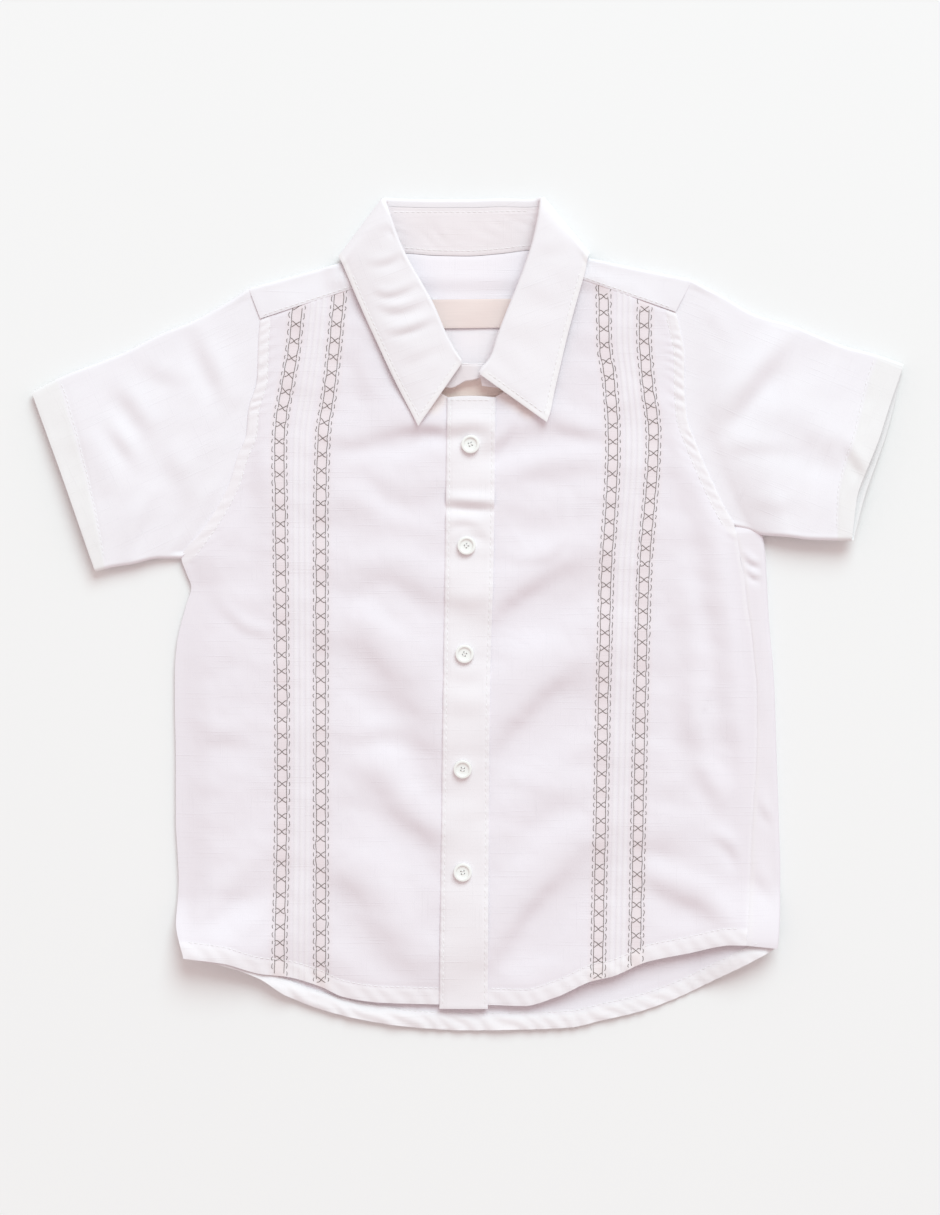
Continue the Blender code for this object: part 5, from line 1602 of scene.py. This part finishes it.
class SHIRT_OT_fronts(bpy.types.Operator):
    """Add the two fronts"""

    bl_idname = "shirt.fronts"
    bl_label = "Fronts"

    def execute(self, context):
        front_piece("left_front", True)
        front_piece("right_front", False)
        return {"FINISHED"}


class SHIRT_OT_placket(bpy.types.Operator):
    """Add the placket and the button band under it"""

    bl_idname = "shirt.placket"
    bl_label = "Placket"

    def execute(self, context):
        placket_pieces()
        return {"FINISHED"}


class SHIRT_OT_sleeves(bpy.types.Operator):
    """Add the two sleeves"""

    bl_idname = "shirt.sleeves"
    bl_label = "Sleeves"

    def execute(self, context):
        sleeve_piece("left_sleeve", False)
        sleeve_piece("right_sleeve", True)
        return {"FINISHED"}


class SHIRT_OT_collar(bpy.types.Operator):
    """Add the collar stand and fall"""

    bl_idname = "shirt.collar"
    bl_label = "Collar"

    def execute(self, context):
        COLLAR_FALL["points"], COLLAR_FALL["first_leaf"] = collar_pieces()
        return {"FINISHED"}


class SHIRT_OT_label(bpy.types.Operator):
    """Add the blank neck label"""

    bl_idname = "shirt.label"
    bl_label = "Label"

    def execute(self, context):
        label_piece()
        return {"FINISHED"}


class SHIRT_OT_buttons(bpy.types.Operator):
    """Add the five buttons and their thread"""

    bl_idname = "shirt.buttons"
    bl_label = "Buttons"

    def execute(self, context):
        buttons()
        return {"FINISHED"}


class SHIRT_OT_topstitching(bpy.types.Operator):
    """Add the rows of stitching"""

    bl_idname = "shirt.topstitching"
    bl_label = "Topstitching"

    def execute(self, context):
        topstitching()
        return {"FINISHED"}


class SHIRT_OT_embroidery(bpy.types.Operator):
    """Add the embroidered ladders"""

    bl_idname = "shirt.embroidery"
    bl_label = "Embroidery"

    def execute(self, context):
        embroidery()
        return {"FINISHED"}


class SHIRT_OT_stage(bpy.types.Operator):
    """Add the floor, light and camera"""

    bl_idname = "shirt.stage"
    bl_label = "Stage"

    def execute(self, context):
        stage()
        return {"FINISHED"}


OPERATORS = (
    SHIRT_OT_back, SHIRT_OT_yoke, SHIRT_OT_fronts, SHIRT_OT_placket, SHIRT_OT_sleeves,
    SHIRT_OT_collar, SHIRT_OT_label, SHIRT_OT_buttons, SHIRT_OT_topstitching,
    SHIRT_OT_embroidery, SHIRT_OT_stage)


class SHIRT_PT_panel(bpy.types.Panel):
    """The shirt's pieces, sizes and colours"""

    bl_idname = "SHIRT_PT_panel"
    bl_label = "Shirt"
    bl_space_type = "VIEW_3D"
    bl_region_type = "UI"
    bl_category = "Shirt"

    def draw(self, context):
        for operator in OPERATORS:
            self.layout.operator(operator.bl_idname)
        for group in (context.scene.shirt_sizes, context.scene.shirt_colours):
            box = self.layout.box()
            for name in group.__annotations__:
                box.prop(group, name)


CLASSES = (ShirtSizes, ShirtColours, *OPERATORS, SHIRT_PT_panel)


def register():
    """Registers the properties, operators and panel."""
    for each in CLASSES:
        bpy.utils.register_class(each)
    bpy.types.Scene.shirt_sizes = PointerProperty(type=ShirtSizes)
    bpy.types.Scene.shirt_colours = PointerProperty(type=ShirtColours)


def unregister():
    """Takes the properties, operators and panel out again."""
    del bpy.types.Scene.shirt_sizes
    del bpy.types.Scene.shirt_colours
    for each in reversed(CLASSES):
        bpy.utils.unregister_class(each)


def main():
    """Makes the shirt and its stage."""
    register()
    bpy.ops.shirt.back()
    bpy.ops.shirt.yoke()
    bpy.ops.shirt.fronts()
    bpy.ops.shirt.placket()
    bpy.ops.shirt.sleeves()
    bpy.ops.shirt.collar()
    bpy.ops.shirt.label()
    bpy.ops.shirt.buttons()
    bpy.ops.shirt.topstitching()
    bpy.ops.shirt.embroidery()
    bpy.ops.shirt.stage()


if __name__ == "__main__":
    main()
